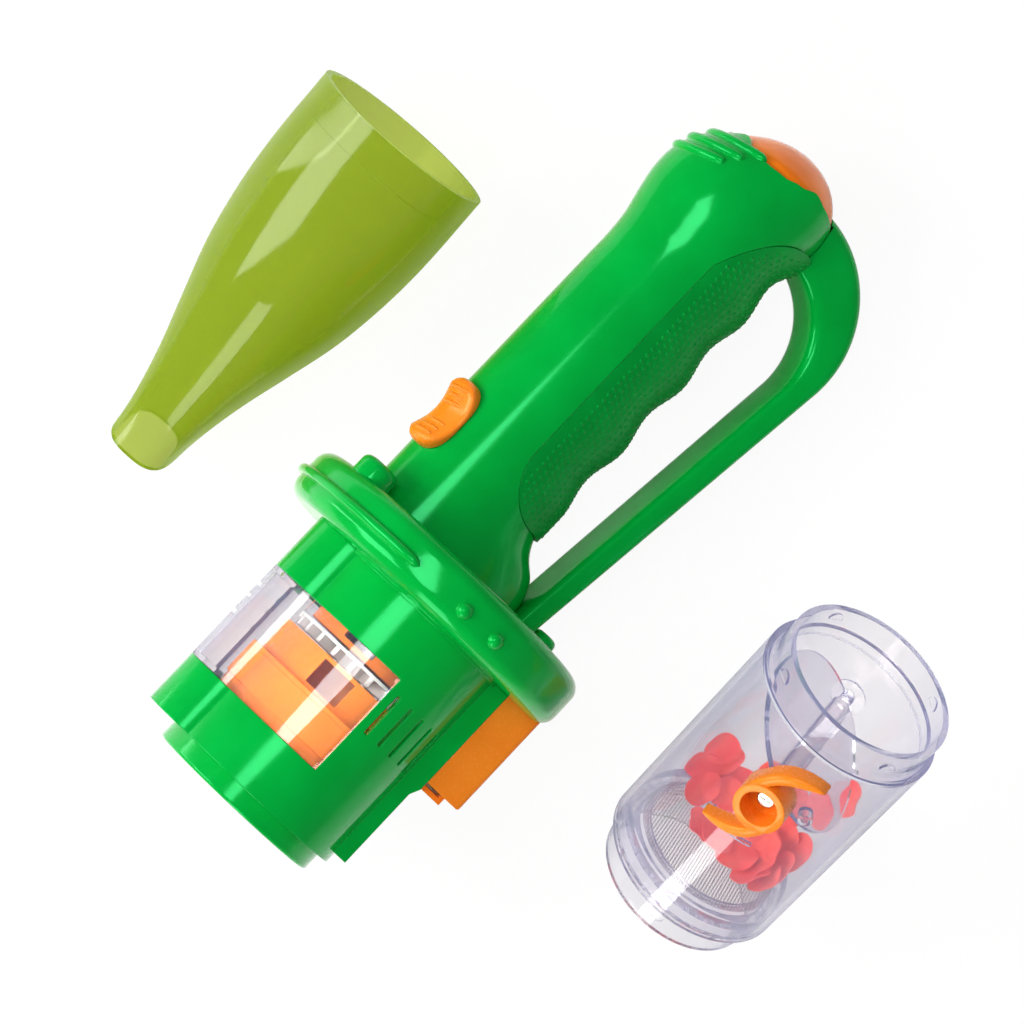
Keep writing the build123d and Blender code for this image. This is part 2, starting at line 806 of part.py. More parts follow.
def motor_bracket():
    """Orange cup that holds the motor behind the fan, with its foot ring in the housing."""
    front = motor_start_x() - bracket_face
    rear = front + bracket_len
    cup = axial(bracket_r, front, rear) + axial(bracket_foot_r, rear - bracket_foot_len, rear)
    cup -= axial(bracket_r - bracket_wall, front + bracket_face, rear - bracket_foot_len)
    cup -= axial(motor_r + fit_gap, front + bracket_face, rear + overrun)
    cup -= axial(motor_boss_r + fit_gap, front - overrun, rear + overrun)
    slot = block(
        front + bracket_face, front + bracket_face + bracket_slot_len, -bracket_slot_half, bracket_slot_half, 0, overrun
    )
    return cup - Rot(bracket_slot_deg, 0, 0) * slot


def motor_can():
    """Steel can of the motor with its front bearing boss."""
    front = motor_start_x()
    can = axial(motor_r, front, front + motor_len) + axial(motor_boss_r, front - motor_boss_len, front)
    room = axial(motor_r - motor_wall, front + motor_wall, front + motor_len)
    return can - room - axial(motor_shaft_r + running_gap, front - overrun, front + overrun)


def motor_end_bell():
    """Plastic rear cover of the motor with its two terminals."""
    start = motor_start_x() + motor_len
    bell = axial(motor_r, start, start + motor_bell_len)
    for side in (-1, 1):
        bell += axial(motor_terminal_r, start, start + motor_bell_len + motor_terminal_len, 0, side * motor_r / 2)
    return bell - axial(motor_shaft_r + running_gap, start - overrun, start + motor_bell_len / 2)


def motor_shaft():
    """Steel shaft that carries the impeller."""
    front = duct_front_x + duct_len + fan_housing_len + impeller_gap
    return axial(motor_shaft_r, front, motor_start_x() + motor_len + motor_bell_len / 2 - slide_gap)


def battery_box():
    """Orange box under the housing with its latch tongue."""
    rear = box_front_x + box_len
    box = block(box_front_x, rear, box_bottom_y, box_top_y, -box_half, box_half)
    box = fillet(box.edges().group_by(Axis.Y)[0], box_edge)
    box -= block(
        box_front_x + box_wall, rear - box_wall, box_bottom_y + box_wall, overrun, -box_half + box_wall, box_half - box_wall
    )
    tongue_x = box_front_x - latch_gap - latch_thick
    tongue = block(tongue_x, tongue_x + latch_thick, latch_bottom_y, latch_top_y, -latch_half, latch_half)
    tongue += block(
        tongue_x, box_front_x + box_wall / 2, latch_bottom_y, latch_bottom_y + latch_thick, -latch_half, latch_half
    )
    return box + tongue


def cell_heights():
    """Height of the cells' axes and their side-by-side places."""
    y = box_bottom_y + box_wall + cell_r + slide_gap
    pitch = 2 * cell_r + cell_gap
    return y, [(index - (cell_count - 1) / 2) * pitch for index in range(cell_count)]


def battery_cells():
    """Row of cells lying along the box."""
    y, places = cell_heights()
    start = box_front_x + box_len / 2 - cell_len / 2
    cells = []
    for z in places:
        body = axial(cell_r, start, start + cell_len - cell_tip_len, y, z)
        cells.append(body + axial(cell_tip_r, start + cell_len - cell_tip_len, start + cell_len, y, z))
    return Compound(children=cells)


def battery_contacts():
    """Metal contact strips at both ends of the box."""
    y, places = cell_heights()
    inner_front = box_front_x + box_wall
    inner_rear = box_front_x + box_len - box_wall
    start = box_front_x + box_len / 2 - cell_len / 2
    half = places[-1] + contact_overhang
    strips = []
    for low, high, spring0, spring1 in (
        (inner_front, inner_front + contact_thick, inner_front, start),
        (inner_rear - contact_thick, inner_rear, start + cell_len, inner_rear),
    ):
        strip = block(low, high, y - contact_half, y + contact_half, -half, half)
        for z in places:
            strip += axial(cell_tip_r, spring0, spring1, y, z)
        strips.append(strip)
    return Compound(children=strips)


def case_screws():
    """Self-tapping screws that hold the case halves together."""
    screws = []
    for x, y in screw_spots:
        shank = upright(screw_r, screw_head_z, screw_head_z + screw_len, x, y)
        screws.append(shank + upright(screw_head_r, screw_head_z - screw_head_len, screw_head_z, x, y))
    return Compound(children=screws)


def nozzle_profile(inset, mouth_r):
    """Half profile of the nozzle from its tip to its mouth, inset from the outer surface."""
    points = []
    for x_share, r_share in zip(nozzle_station_shares, nozzle_radius_shares):
        radius = nozzle_tip_r + r_share * (mouth_r - nozzle_tip_r)
        points.append((x_share * nozzle_len, radius - inset))
    edges = [Spline(*points)]
    edges.append(Line(points[-1], (nozzle_len, 0)))
    edges.append(Line((nozzle_len, 0), (0, 0)))
    edges.append(Line((0, 0), points[0]))
    return revolve(make_face(Wire(edges)), Axis.X)


def nozzle_pyramid(inset):
    """Four-sided taper that squares the nozzle towards its tip."""
    small = nozzle_tip_half - inset
    large = nozzle_flat_half - inset
    tip = Plane.YZ * RectangleRounded(2 * small, 2 * small, nozzle_corner_share * small)
    wide = Plane.YZ.offset(nozzle_flat_len) * RectangleRounded(2 * large, 2 * large, nozzle_corner_share * large)
    rest = axial(nozzle_mouth_r + overrun, nozzle_flat_len, nozzle_len + overrun)
    return loft([tip, wide]) + rest


def nozzle():
    """Translucent funnel with an oblique tip and the socket for the jar's mouth neck."""
    outer = nozzle_profile(0, nozzle_mouth_r) & nozzle_pyramid(0)
    inner = nozzle_profile(nozzle_wall, nozzle_mouth_r) & nozzle_pyramid(nozzle_wall)
    inner &= axial(nozzle_mouth_r, -overrun, nozzle_len - nozzle_socket_len)
    inner += axial(nozzle_socket_r, nozzle_len - nozzle_socket_len, nozzle_len + overrun)
    shell = outer - inner
    for slot in bayonet_slots(nozzle_socket_r, nozzle_slot_depth, nozzle_len - nozzle_socket_len, nozzle_len + overrun):
        shell -= slot
    cut = Pos(nozzle_cut_x, 0, 0) * Rot(0, -nozzle_cut_deg, 0) * block(
        -overrun, 0, -overrun, overrun, -overrun, overrun
    )
    return shell - cut


def neck_keys(radius, x):
    """Half-round bayonet keys with their fine ribs, round a neck."""
    keys = []
    for index in range(bayonet_count):
        turn = Rot(bayonet_first_deg + index * 360 / bayonet_count, 0, 0)
        key = Pos(x, 0, 0) * Rot(-90, 0, 0) * upright(key_r, radius - key_root, radius + key_height)
        key &= block(x, x + overrun, 0, overrun, -overrun, overrun)
        keys.append(turn * key)
    return keys


def jar_stations():
    """Axial stations: tube start, tube end, mouth end and valve axis, from the foot."""
    start = base_neck_len
    end = start + jar_tube_len
    return start, end, end + mouth_neck_len, end - valve_from_shoulder


def jar_tube():
    """Clear tube with its mouth neck, keys, bearing boss, stop post and stop rib."""
    start, end, mouth, valve_x = jar_stations()
    tube = axial(jar_r, start, end) + axial(mouth_neck_r, end, mouth)
    rim = axial(jar_r - shoulder_rim, end, end + shoulder_rim)
    rim -= axial(jar_r - shoulder_rim - shoulder_rim_width, end - overrun, end + overrun)
    tube += rim
    for key in neck_keys(mouth_neck_r, end + mouth_key_share * mouth_neck_len):
        tube += key
    tube += upright(bearing_r, jar_r - bearing_root, jar_r + bearing_height, valve_x)
    tube -= axial(jar_r - jar_wall, start - overrun, end - shoulder_thick)
    tube -= axial(mouth_neck_r - mouth_neck_wall, end - overrun, mouth + overrun)
    tube += upright(bearing_r, -jar_r, -flap_r - knob_gap, valve_x) & axial(jar_r, start, end)
    post = Rot(stop_post_deg, 0, 0) * upright(stop_post_r, jar_r - jar_wall / 2, jar_r + stop_post_height, valve_x)
    bore = Rot(stop_post_deg, 0, 0) * upright(stop_post_bore_r, jar_r + key_height, jar_r + overrun, valve_x)
    tube = tube + post - bore
    tube += stop_rib(valve_x)
    tube -= upright(shaft_r + running_gap, -shaft_far_reach - running_gap, overrun, valve_x)
    return tube


def stop_rib(valve_x):
    """Low arc rib on the outside of the tube under the sweep of one wing."""
    ring = upright(stop_rib_r + stop_rib_width / 2, 0, overrun, valve_x)
    ring -= upright(stop_rib_r - stop_rib_width / 2, -overrun, 2 * overrun, valve_x)
    span = 2 * overrun
    corners = [(0, 0)]
    for angle in (stop_rib_from_deg, stop_rib_to_deg):
        corners.append((span * math.cos(math.radians(angle)), span * math.sin(math.radians(angle))))
    wedge = extrude(make_face(Polyline(*corners, close=True)), amount=span)
    band = axial(jar_r + stop_rib_height, 0, 4 * overrun) - axial(jar_r - jar_wall / 2, -overrun, 5 * overrun)
    return ring & (Pos(valve_x, 0, 0) * wedge) & band


def jar_base():
    """Clear base ring with the neck that plugs into the suction body."""
    start = base_neck_len
    ring = axial(base_neck_r, 0, start) + axial(jar_r, start - shoulder_thick, start)
    plug_r = jar_r - jar_wall - fit_gap
    ring += axial(plug_r, start, start + base_plug_len)
    rim = axial(jar_r - shoulder_rim, start - shoulder_thick - shoulder_rim, start)
    rim -= axial(jar_r - shoulder_rim - shoulder_rim_width, -overrun, start + overrun)
    ring += rim
    for key in neck_keys(base_neck_r, base_key_share * base_neck_len):
        ring += key
    ring -= axial(base_neck_r - base_neck_wall, -overrun, start + overrun)
    dimple = Rot(valve_roll_deg, 0, 0) * upright(dimple_r, base_neck_r - dimple_depth, overrun, dimple_share * base_neck_len)
    return ring - dimple


def mesh_seat():
    """Station of the mesh disc's lower face."""
    return base_neck_len + mesh_rise


def mesh_frame():
    """Clear ring that clamps the mesh disc in the tube."""
    low = base_neck_len + base_plug_len
    high = mesh_seat() + mesh_frame_thick
    ring = axial(jar_r - jar_wall - fit_gap, low, high)
    ring -= axial(mesh_frame_inner_r, low - overrun, high + overrun)
    return ring - axial(mesh_r + fit_gap, mesh_seat() - fit_gap, mesh_seat() + mesh_thick + fit_gap)


def mesh_screen():
    """Fine steel mesh disc."""
    return axial(mesh_r, mesh_seat(), mesh_seat() + mesh_thick)


def petals():
    """Loose paper petals: a few layers on the mesh and rows lying against the lower wall."""
    solids = []
    base_x = mesh_seat() + mesh_thick + wall_petal_gap
    for layer in range(petal_layers):
        x = base_x + layer * petal_step
        for index in range(petals_per_layer):
            angle = math.radians(petal_first_deg + petal_layer_deg * layer + petal_pitch_deg * index)
            y = petal_ring_r * math.cos(angle)
            z = petal_ring_r * math.sin(angle)
            solids.append(axial(petal_r * (1 - petal_shrink_share * index), x, x + petal_thick, y, z))
    shell = axial(jar_r - jar_wall - wall_petal_gap, 0, 2 * overrun)
    shell -= axial(jar_r - jar_wall - wall_petal_gap - petal_thick, -overrun, 3 * overrun)
    first_x = base_x + petal_layers * petal_step + petal_r
    for row in range(wall_petal_rows):
        for column in range(wall_petal_columns - row):
            angle = 180 + (column - 1) * wall_petal_deg - row * wall_petal_lag_deg
            x = first_x + row * wall_petal_pitch + (column % 2) * petal_step
            solids.append(shell & (Rot(angle, 0, 0) * upright(wall_petal_r, 0, overrun, x)))
    return Compound(children=solids)


def valve_turn():
    """Turns a valve piece, modelled closed, to its rest position."""
    valve_x = jar_stations()[3]
    return Pos(valve_x, 0, 0) * Rot(0, 0, -valve_open_deg)


def valve_flap():
    """Clear butterfly disc with its sleeve, closed across the tube."""
    disc = axial(flap_r, -flap_thick / 2, flap_thick / 2)
    disc += upright(flap_sleeve_r, flap_sleeve_margins[0] - flap_r, flap_r - flap_sleeve_margins[1])
    return valve_turn() * (disc - upright(shaft_r, -overrun, overrun))


def valve_shaft():
    """Shaft across the jar, from its far seat to the knob."""
    return valve_turn() * (upright(shaft_r, -shaft_far_reach, knob_base() + knob_floor) - knob_screw_hole())


def knob_base():
    """Height of the knob's lower face above the jar's axis."""
    return jar_r + bearing_height + knob_gap


def knob_screw_hole():
    """Pilot hole of the knob screw."""
    top = knob_base() + knob_floor
    return upright(knob_screw_r, top - knob_screw_len, top + overrun)


def valve_knob():
    """Orange knob: a cup-shaped hub with two curved wings."""
    base = knob_base()
    hub = upright(knob_hub_r, base, base + knob_height)
    wing_low = base + wing_drop
    wing_high = base + knob_height - wing_drop / 2
    for side in (0, 180):
        hub += Rot(0, 0, side + wing_lag_deg) * wing(wing_low, wing_high)
    hub -= upright(knob_bore_r, base + knob_floor, base + overrun)
    return valve_turn() * (hub - upright(shaft_r, base - overrun, base + knob_floor))


def wing(low, high):
    """One curved wing, from the hub's side along +X to its tip."""
    root_y = knob_hub_r - wing_thick / 2
    half = wing_thick / 2
    middle = (wing_middle_share * knob_reach, root_y + wing_middle_rise)
    tip = (knob_reach, root_y - wing_bow)
    face = make_face(Wire([
        ThreePointArc((0, root_y + half), (middle[0], middle[1] + half), (tip[0], tip[1] + half)),
        Line((tip[0], tip[1] + half), (tip[0] - half, tip[1] - half)),
        ThreePointArc((tip[0] - half, tip[1] - half), (middle[0], middle[1] - half), (0, root_y - half)),
        Line((0, root_y - half), (0, root_y + half)),
    ]))
    return Pos(0, 0, low) * extrude(face, amount=high - low)


def knob_screw():
    """Chrome screw in the knob's cup."""
    seat = knob_base() + knob_floor
    head = upright(knob_screw_head_r, seat, seat + knob_screw_head_len)
    head = fillet(head.edges().group_by(Axis.Z)[-1], knob_screw_round)
    half = knob_cross_width / 2
    for turn in (0, 90):
        low = seat + knob_screw_head_len / 2
        cross = block(-knob_cross_half, knob_cross_half, -half, half, low, seat + overrun)
        head -= Rot(0, 0, turn + 45) * cross
    return valve_turn() * (head + upright(knob_screw_r, seat - knob_screw_len + slide_gap, seat))


def suction_body_parts():
    """Every piece of the suction body, by node name, about the body's axis."""
    tube, disc, grip_shell = housing(), bumper(), handle()
    panel, guard = grip_panels(), loop_guard()
    return {
        "housing_near": near_half(tube),
        "housing_far": far_half(tube),
        "window_cover": window_cover(),
        "front_collar": front_collar(),
        "bumper_near": near_half(disc),
        "bumper_far": far_half(disc),
        "handle_near": near_half(grip_shell),
        "handle_far": far_half(grip_shell),
        "grip_panel_near": near_half(panel),
        "grip_panel_far": far_half(panel),
        "loop_guard_near": near_half(guard),
        "loop_guard_far": far_half(guard),
        "end_cap": end_cap(),
        "case_screws": case_screws(),
        "intake_duct": intake_duct(),
        "fan_housing": fan_housing(),
        "motor_bracket": motor_bracket(),
        "motor_can": motor_can(),
        "motor_end_bell": motor_end_bell(),
        "motor_shaft": motor_shaft(),
        "impeller": impeller(),
        "switch_slider": switch_slider(),
        "switch_wiper": switch_wiper(),
        "switch_base": switch_base(),
        "battery_box": battery_box(),
        "battery_cells": battery_cells(),
        "battery_contacts": battery_contacts(),
    }


def jar_parts():
    """Every piece of the jar, by node name, about the jar's axis."""
    return {
        "jar_tube": jar_tube(),
        "jar_base": jar_base(),
        "mesh_frame": mesh_frame(),
        "mesh_screen": mesh_screen(),
        "valve_flap": valve_flap(),
        "valve_shaft": valve_shaft(),
        "valve_knob": valve_knob(),
        "knob_screw": knob_screw(),
        "petals": petals(),
    }


def lay(parts, turn, centre_x, spot):
    """Turns an assembly, centres it over its spot by the axial station named, and sets it on the floor."""
    turned = {name: turn * part for name, part in parts.items()}
    middle = turn * Pos(centre_x, 0, 0)
    low = min(part.bounding_box().min.Z for part in turned.values())
    shift = Pos(spot[0] - middle.position.X, spot[1] - middle.position.Y, -low)
    return {name: shift * part for name, part in turned.items()}, shift * turn


def assemble():
    """Lays the three assemblies on the floor and centres the whole over the origin."""
    body_turn = Rot(0, body_tilt_deg, 0) * Rot(body_roll_deg, 0, 0)
    nozzle_turn = Rot(0, 0, nozzle_turn_deg) * Rot(0, nozzle_tilt_deg, 0)
    jar_turn = Rot(0, 0, jar_turn_deg) * Rot(0, jar_tilt_deg, 0) * Rot(-valve_roll_deg, 0, 0)
    body, body_frame = lay(suction_body_parts(), body_turn, 0, (0, 0))
    funnel, nozzle_frame = lay({"nozzle": nozzle()}, nozzle_turn, nozzle_centre_share * nozzle_len, nozzle_centre)
    jar, jar_frame = lay(jar_parts(), jar_turn, base_neck_len + jar_centre_share * jar_tube_len, jar_centre)
    pieces = {**body, **funnel, **jar}
    boxes = [part.bounding_box() for part in pieces.values()]
    centre_x = (min(b.min.X for b in boxes) + max(b.max.X for b in boxes)) / 2
    centre_y = (min(b.min.Y for b in boxes) + max(b.max.Y for b in boxes)) / 2
    shift = Pos(-centre_x, -centre_y, 0)
    frames = {"body": shift * body_frame, "nozzle": shift * nozzle_frame, "jar": shift * jar_frame}
    return {name: shift * part for name, part in pieces.items()}, frames


pieces, frames = assemble()
for name, part in pieces.items():
    export_step(part, f"parts/{name}.step")
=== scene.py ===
"""Looks of the hand-held bug vacuum: funnel nozzle, fan body with loop handle, and clear catching jar."""
import json
import logging
import math
import random
from dataclasses import dataclass
from enum import Enum
from typing import Callable, Iterable, Optional, Sequence

import bmesh
import bpy
from mathutils import Matrix, Vector


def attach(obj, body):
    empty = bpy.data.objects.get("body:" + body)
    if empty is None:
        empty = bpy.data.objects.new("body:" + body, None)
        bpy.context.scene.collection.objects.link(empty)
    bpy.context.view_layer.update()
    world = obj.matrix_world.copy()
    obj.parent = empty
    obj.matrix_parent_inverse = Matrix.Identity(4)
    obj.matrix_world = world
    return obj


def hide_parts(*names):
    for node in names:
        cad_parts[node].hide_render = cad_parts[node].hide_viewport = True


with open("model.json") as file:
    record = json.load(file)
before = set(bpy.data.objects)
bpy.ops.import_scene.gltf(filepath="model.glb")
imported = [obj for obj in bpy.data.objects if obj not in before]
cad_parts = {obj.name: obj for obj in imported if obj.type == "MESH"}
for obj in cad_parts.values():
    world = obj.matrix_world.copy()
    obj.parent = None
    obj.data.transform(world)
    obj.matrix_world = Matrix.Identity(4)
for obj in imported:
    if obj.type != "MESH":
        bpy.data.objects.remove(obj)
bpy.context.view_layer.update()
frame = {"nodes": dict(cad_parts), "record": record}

LOG = logging.getLogger("bug_vacuum")
MM = 0.001
Point = tuple[float, float, float]
Pair = tuple[float, float]


# Places: each assembly is made in millimetres about its own axis, +X along it, +Z towards the upper side
@dataclass(frozen=True)
class Place:
    """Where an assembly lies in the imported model: its origin in metres and its three axes."""

    origin: Point
    x: Point
    y: Point
    z: Point

    def matrix(self) -> Matrix:
        """Matrix from the assembly's own millimetres to the model's metres."""
        turn = Matrix((self.x, self.y, self.z)).transposed().to_4x4()
        return Matrix.Translation(self.origin) @ turn @ Matrix.Scale(MM, 4)

    def point(self, x: float, y: float, z: float) -> Vector:
        """A point of the assembly in the model's metres."""
        return self.matrix() @ Vector((x, y, z))


BODY = Place(
    (-0.007327, 0.007308, 0.046722),
    (0.9809552, 0.0, -0.1942344),
    (0.0664321, 0.9396926, 0.3355064),
    (0.1825206, -0.3420201, 0.9217963),
)
NOZZLE = Place(
    (-0.072013, 0.103897, 0.021434),
    (0.9957031, 0.0312912, 0.0871557),
    (-0.0314108, 0.9995066, 0.0),
    (-0.0871127, -0.0027376, 0.9961947),
)
JAR = Place(
    (-0.05747, -0.108872, 0.022372),
    (0.8552329, 0.0575542, 0.5150381),
    (-0.0311349, 0.9977251, -0.059793),
    (-0.5173078, 0.0351013, 0.8550793),
)


class Slot(Enum):
    """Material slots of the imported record."""

    GREEN_SHELL = "green_shell"
    GREEN_GRIP = "green_grip"
    ORANGE = "orange_plastic"
    ORANGE_CLEAR = "orange_clear"
    CLEAR = "clear_plastic"
    LIME_CLEAR = "lime_clear"
    WHITE = "white_plastic"
    MOTOR_STEEL = "motor_steel"
    SCREW_STEEL = "screw_steel"
    MESH_STEEL = "mesh_steel"
    COPPER = "copper"
    CELL_JACKET = "cell_jacket"
    RED_PAPER = "red_paper"


class Body(Enum):
    """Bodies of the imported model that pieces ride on."""

    SUCTION = "suction_body"
    FAN = "fan"
    SWITCH = "switch"
    TRAY = "battery_tray"
    NOZZLE = "nozzle"
    JAR = "jar"
    VALVE = "valve"


# Mesh work
@dataclass
class Blank:
    """Bare faces in an assembly's millimetres, before they become a Blender object."""

    points: list
    faces: list

    def joined(self, other: "Blank") -> "Blank":
        """This geometry and another one side by side."""
        start = len(self.points)
        return Blank(self.points + other.points, self.faces + [[i + start for i in face] for face in other.faces])

    def mirrored(self) -> "Blank":
        """The same geometry on the other side of the parting plane."""
        return Blank([(x, y, -z) for x, y, z in self.points], [face[::-1] for face in self.faces])


def skin(rows: Sequence[Sequence[Point]], ring: bool = True, loop: bool = False) -> Blank:
    """Faces between neighbouring rows of points, closed at both ends.

    Args:
        rows: rows with the same number of points each.
        ring: whether each row closes on itself.
        loop: whether the last row joins the first one; otherwise both end rows are filled.

    Returns:
        The faces as one closed form.
    """
    count = len(rows[0])
    points = [tuple(point) for row in rows for point in row]
    faces = []
    for r in range(len(rows) if loop else len(rows) - 1):
        for i in range(count if ring else count - 1):
            j, low, high = (i + 1) % count, r * count, (r + 1) % len(rows) * count
            faces.append([low + i, low + j, high + j, high + i])
    if not loop:
        faces.append(list(range(count))[::-1])
        faces.append([(len(rows) - 1) * count + i for i in range(count)])
    return Blank(points, faces)


def lathe(profile: Sequence[Pair], steps: int, centre: Callable[[float], float] = lambda x: 0.0) -> Blank:
    """Turns a closed profile of (x, radius) about an axis along +X whose height may drift with x."""
    rows = []
    for k in range(steps):
        angle = 2 * math.pi * k / steps
        rows.append([(x, centre(x) + r * math.cos(angle), r * math.sin(angle)) for x, r in profile])
    return skin(rows, ring=True, loop=True)


def prism(outline: Sequence[Pair], low: float, high: float) -> Blank:
    """A flat outline in x and y, run from one height to another."""
    return skin([[(x, y, low) for x, y in outline], [(x, y, high) for x, y in outline]])


def tube(path: Sequence[Point], radii: Sequence[float], sides: int, normals: Sequence[Vector]) -> Blank:
    """Round bar along a path, with its radius at each point and a direction across it."""
    rows = []
    for i, point in enumerate(path):
        here = Vector(point)
        along = (Vector(path[min(i + 1, len(path) - 1)]) - Vector(path[max(i - 1, 0)])).normalized()
        across = (normals[i] - along * normals[i].dot(along)).normalized()
        side = along.cross(across)
        rows.append([
            tuple(here + (across * math.cos(turn) + side * math.sin(turn)) * radii[i])
            for turn in (2 * math.pi * k / sides for k in range(sides))
        ])
    return skin(rows)


def arc(centre: Pair, radius: float, start_deg: float, end_deg: float, steps: int) -> list[Pair]:
    """Points along an arc."""
    turns = [math.radians(start_deg + (end_deg - start_deg) * k / steps) for k in range(steps + 1)]
    return [(centre[0] + radius * math.cos(turn), centre[1] + radius * math.sin(turn)) for turn in turns]


def eased(stops: Sequence[Pair], value: float) -> float:
    """Smooth value between (position, height) stops, level at each stop."""
    if value <= stops[0][0]:
        return stops[0][1]
    for (x0, y0), (x1, y1) in zip(stops, stops[1:]):
        if value <= x1:
            t = (value - x0) / (x1 - x0)
            return y0 + (y1 - y0) * t * t * (3 - 2 * t)
    return stops[-1][1]


def flowing(stops: Sequence[Pair], value: float) -> float:
    """Value on a smooth curve through (position, height) stops."""
    if value <= stops[0][0]:
        return stops[0][1]
    for i in range(len(stops) - 1):
        (x0, y0), (x1, y1) = stops[i], stops[i + 1]
        if value <= x1:
            before, after = stops[max(i - 1, 0)], stops[min(i + 2, len(stops) - 1)]
            s0 = (y1 - before[1]) / (x1 - before[0])
            s1 = (after[1] - y0) / (after[0] - x0)
            span, t = x1 - x0, (value - x0) / (x1 - x0)
            bend = (2 * t**3 - 3 * t**2 + 1) * y0 + (3 * t**2 - 2 * t**3) * y1
            return bend + span * ((t**3 - 2 * t**2 + t) * s0 + (t**3 - t**2) * s1)
    return stops[-1][1]


def solid(name: str, blank: Blank, place: Place) -> bpy.types.Object:
    """Makes a Blender object in the model's frame, with its normals outward."""
    matrix = place.matrix()
    mesh = bpy.data.meshes.new(name)
    mesh.from_pydata([tuple(matrix @ Vector(point)) for point in blank.points], [], blank.faces)
    work = bmesh.new()
    work.from_mesh(mesh)
    bmesh.ops.remove_doubles(work, verts=work.verts, dist=0.002 * MM)
    bmesh.ops.recalc_face_normals(work, faces=work.faces)
    work.to_mesh(mesh)
    work.free()
    obj = bpy.data.objects.new(name, mesh)
    bpy.context.scene.collection.objects.link(obj)
    return obj


def apply_modifier(obj: bpy.types.Object, kind: str, settings: dict) -> None:
    """Adds one modifier and makes its result the object's own mesh."""
    modifier = obj.modifiers.new(kind.lower(), kind)
    for key, value in settings.items():
        setattr(modifier, key, value)
    depsgraph = bpy.context.evaluated_depsgraph_get()
    mesh = bpy.data.meshes.new_from_object(obj.evaluated_get(depsgraph))
    obj.modifiers.clear()
    obj.data = mesh


def carve(obj: bpy.types.Object, cutter: bpy.types.Object, operation: str = "DIFFERENCE") -> None:
    """Cuts, joins or intersects an object with a helper, which is then removed."""
    apply_modifier(obj, "BOOLEAN", {"operation": operation, "solver": "EXACT", "object": cutter})
    bpy.data.objects.remove(cutter, do_unlink=True)


def settle(obj: bpy.types.Object, slot: Slot, body: Body, palette: "Palette", nodes: Iterable[str] = (),
           crease_deg: float = 32.0) -> bpy.types.Object:
    """Smooths a finished piece, dresses it, ties it to its body and hides the CAD nodes that it stands for.

    Args:
        obj: the piece.
        slot: material slot that it takes its finish from.
        body: body that it rides on.
        palette: the finishes.
        nodes: CAD nodes that it stands for.
        crease_deg: angle above which an edge stays sharp.

    Returns:
        The same piece.
    """
    work = bmesh.new()
    work.from_mesh(obj.data)
    bmesh.ops.remove_doubles(work, verts=work.verts, dist=0.002 * MM)
    bmesh.ops.dissolve_degenerate(work, edges=work.edges, dist=0.001 * MM)
    work.to_mesh(obj.data)
    work.free()
    obj.data.polygons.foreach_set("use_smooth", [True] * len(obj.data.polygons))
    obj.data.set_sharp_from_angle(angle=math.radians(crease_deg))
    obj.data.materials.clear()
    obj.data.materials.append(palette.materials[slot])
    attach(obj, body.value)
    if nodes:
        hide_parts(*nodes)
    LOG.info("built %s: %d faces", obj.name, len(obj.data.polygons))
    return obj


# Finishes
def linear(code: str, alpha: float = 1.0) -> tuple[float, float, float, float]:
    """Turns an sRGB hex colour to linear.

    Args:
        code: colour as "#RRGGBB".
        alpha: opacity.

    Returns:
        Linear red, green, blue and the opacity.
    """
    channels = []
    for start in (1, 3, 5):
        value = int(code[start:start + 2], 16) / 255
        channels.append(value / 12.92 if value <= 0.04045 else ((value + 0.055) / 1.055) ** 2.4)
    return channels[0], channels[1], channels[2], alpha


def add_node(tree: bpy.types.NodeTree, kind: str, settings: Optional[dict] = None,
             links: Optional[dict] = None) -> bpy.types.Node:
    """Adds one node with its settings and links.

    Args:
        tree: node tree that the node goes into.
        kind: the node's type name.
        settings: values by input name, input number or attribute name.
        links: sockets to read from, by input name or number.

    Returns:
        The new node.
    """
    node = tree.nodes.new(kind)
    for key, value in (settings or {}).items():
        if isinstance(key, int) or node.inputs.get(key) is not None:
            node.inputs[key].default_value = value
        else:
            setattr(node, key, value)
    for key, source in (links or {}).items():
        tree.links.new(source, node.inputs[key])
    return node


def new_material(name: str) -> tuple[bpy.types.Material, bpy.types.NodeTree]:
    """An empty node material and its tree."""
    material = bpy.data.materials.new(name)
    material.use_nodes = True
    material.node_tree.nodes.clear()
    return material, material.node_tree


def noise(tree: bpy.types.NodeTree, size_mm: float, detail: float = 2.0, stretch: Point = (1, 1, 1)) -> bpy.types.Node:
    """Noise with blotches of a real size.

    Args:
        tree: node tree.
        size_mm: size of one blotch in millimetres.
        detail: octaves of finer noise.
        stretch: how much longer the blotches are along each axis.

    Returns:
        The noise node.
    """
    spot = add_node(tree, "ShaderNodeTexCoord")
    scale = add_node(
        tree, "ShaderNodeMapping", {"Scale": tuple(1 / s for s in stretch)}, {"Vector": spot.outputs["Object"]}
    )
    return add_node(
        tree, "ShaderNodeTexNoise", {"Scale": 1 / (size_mm * MM), "Detail": detail}, {"Vector": scale.outputs[0]}
    )


def blend_colours(tree: bpy.types.NodeTree, factor: bpy.types.NodeSocket, first: str, second: str) -> bpy.types.Node:
    """Mixes two sRGB hex colours by a factor."""
    return add_node(
        tree, "ShaderNodeMix", {"data_type": "RGBA", 6: linear(first), 7: linear(second)}, {0: factor}
    )


def spread(tree: bpy.types.NodeTree, source: bpy.types.NodeSocket, low: float, high: float,
           start: float = 0.35, end: float = 0.65) -> bpy.types.Node:
    """Maps a noise value to a range."""
    return add_node(
        tree, "ShaderNodeMapRange",
        {"From Min": start, "From Max": end, "To Min": low, "To Max": high}, {"Value": source},
    )


def output(tree: bpy.types.NodeTree, shader: bpy.types.Node) -> bpy.types.Node:
    """The material output for a shader."""
    return add_node(tree, "ShaderNodeOutputMaterial", links={"Surface": shader.outputs[0]})


